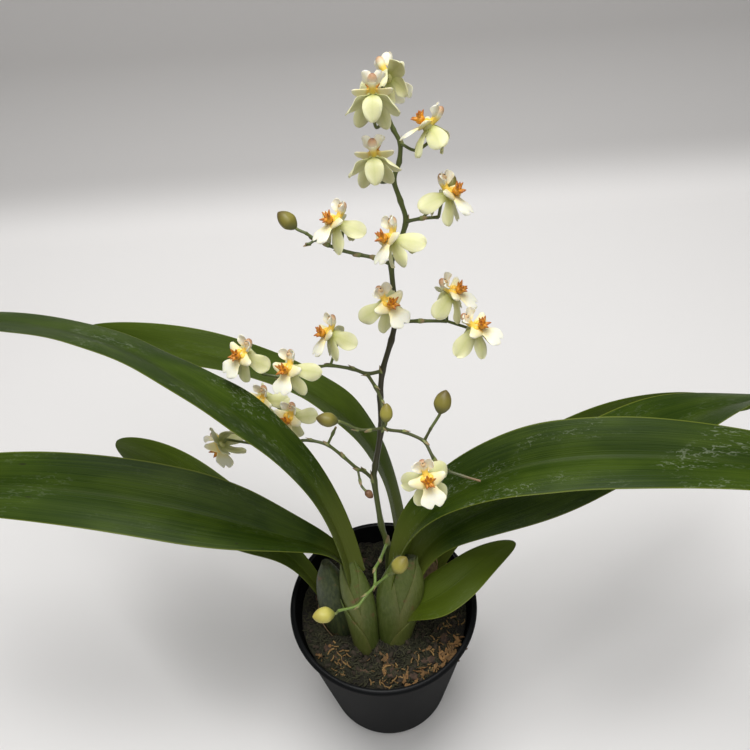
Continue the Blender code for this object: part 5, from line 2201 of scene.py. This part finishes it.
@dataclass
class Stage:
    """Pale paper sweep, soft lights and the camera."""

    width: float = 4200.0
    front: float = -1500.0
    bend_at: float = 395.0
    bend_radius: float = 110.0
    bend_steps: int = 24
    wall: float = 400.0
    lamps: tuple = (Lamp("key", (-40, 130, 1150), (0, 80, 0), 560, 9.4),
                    Lamp("fill", (40, -480, 900), (40, -340, 0), 800, 3.4))
    room_light: float = 0.21
    lens: float = 36.91
    sensor: float = 36.0
    nearest: float = 0.01
    farthest: float = 20.0
    camera_spot: Point = (3.112, -160.230, 383.375)
    camera_right: Point = (0.99768, -0.04876, -0.04742)
    camera_up: Point = (0.06802, 0.71525, 0.69555)

    def paper(self) -> None:
        """Build the floor and backdrop as one sheet."""
        line = [(self.front, 0.0), (-400.0, 0.0), (self.bend_at, 0.0)]
        for step in range(1, self.bend_steps + 1):
            angle = math.radians(90 * step / self.bend_steps)
            line.append((self.bend_at + self.bend_radius * math.sin(angle),
                         self.bend_radius * (1 - math.cos(angle))))
        line.append((self.bend_at + self.bend_radius, self.wall))
        half = self.width / 2
        points = [(x * MM, y * MM, z * MM) for y, z in line for x in (-half, half)]
        faces = [(2 * i, 2 * i + 1, 2 * i + 3, 2 * i + 2) for i in range(len(line) - 1)]
        mesh = bpy.data.meshes.new("paper_sweep")
        mesh.from_pydata(points, [], faces)
        mesh.materials.append(FloorPaper().make())
        mesh.shade_smooth()
        place("paper_sweep", mesh)

    def camera(self) -> None:
        """Add the camera at the photograph's viewing angle."""
        right = Vector(self.camera_right)
        up = Vector(self.camera_up)
        data = bpy.data.cameras.new("camera")
        data.lens = self.lens
        data.sensor_width = self.sensor
        data.sensor_fit = "HORIZONTAL"
        data.clip_start = self.nearest
        data.clip_end = self.farthest
        obj = place("camera", data)
        turn = Matrix((right, up, right.cross(up))).transposed().to_4x4()
        obj.matrix_world = Matrix.Translation(Vector(self.camera_spot) * MM) @ turn
        bpy.context.scene.camera = obj

    def build(self) -> None:
        """Build the stage."""
        self.paper()
        for lamp in self.lamps:
            lamp.hang()
        world = bpy.data.worlds.new("studio")
        world.use_nodes = True
        sky = world.node_tree.nodes["Background"]
        sky.inputs["Color"].default_value = (1, 1, 1, 1)
        sky.inputs["Strength"].default_value = self.room_light
        scene = bpy.context.scene
        scene.world = world
        scene.view_settings.view_transform = "Standard"
        self.camera()
        LOG.info("Stage with %d lights and the camera is up", len(self.lamps))


def main() -> None:
    """Build every piece on the frame, in order."""
    logging.basicConfig(level=logging.INFO, format="%(name)s: %(message)s")
    for obj in list(bpy.data.objects):
        bpy.data.objects.remove(obj)
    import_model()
    pot = Pot()
    pot.build()
    MossBed(pot).build()
    for growth in growths():
        growth.build()
    FlowerStem().build()
    rng = random.Random(BLOOM_SEED)
    petals = PetalSkin().make()
    crests = CREST_SKIN.make()
    for name, spec in BLOOMS.items():
        Bloom(name, spec, rng, petals, crests).build()
    bud_skin = PetalSkin("bud_skin", 0.06, 0.0).make()
    for name, (root, tip, width, _, tone) in BUDS.items():
        Bud(name, root, tip, width, BudTone(tone), bud_skin).build()
    Stage().build()


if __name__ == "__main__":
    main()
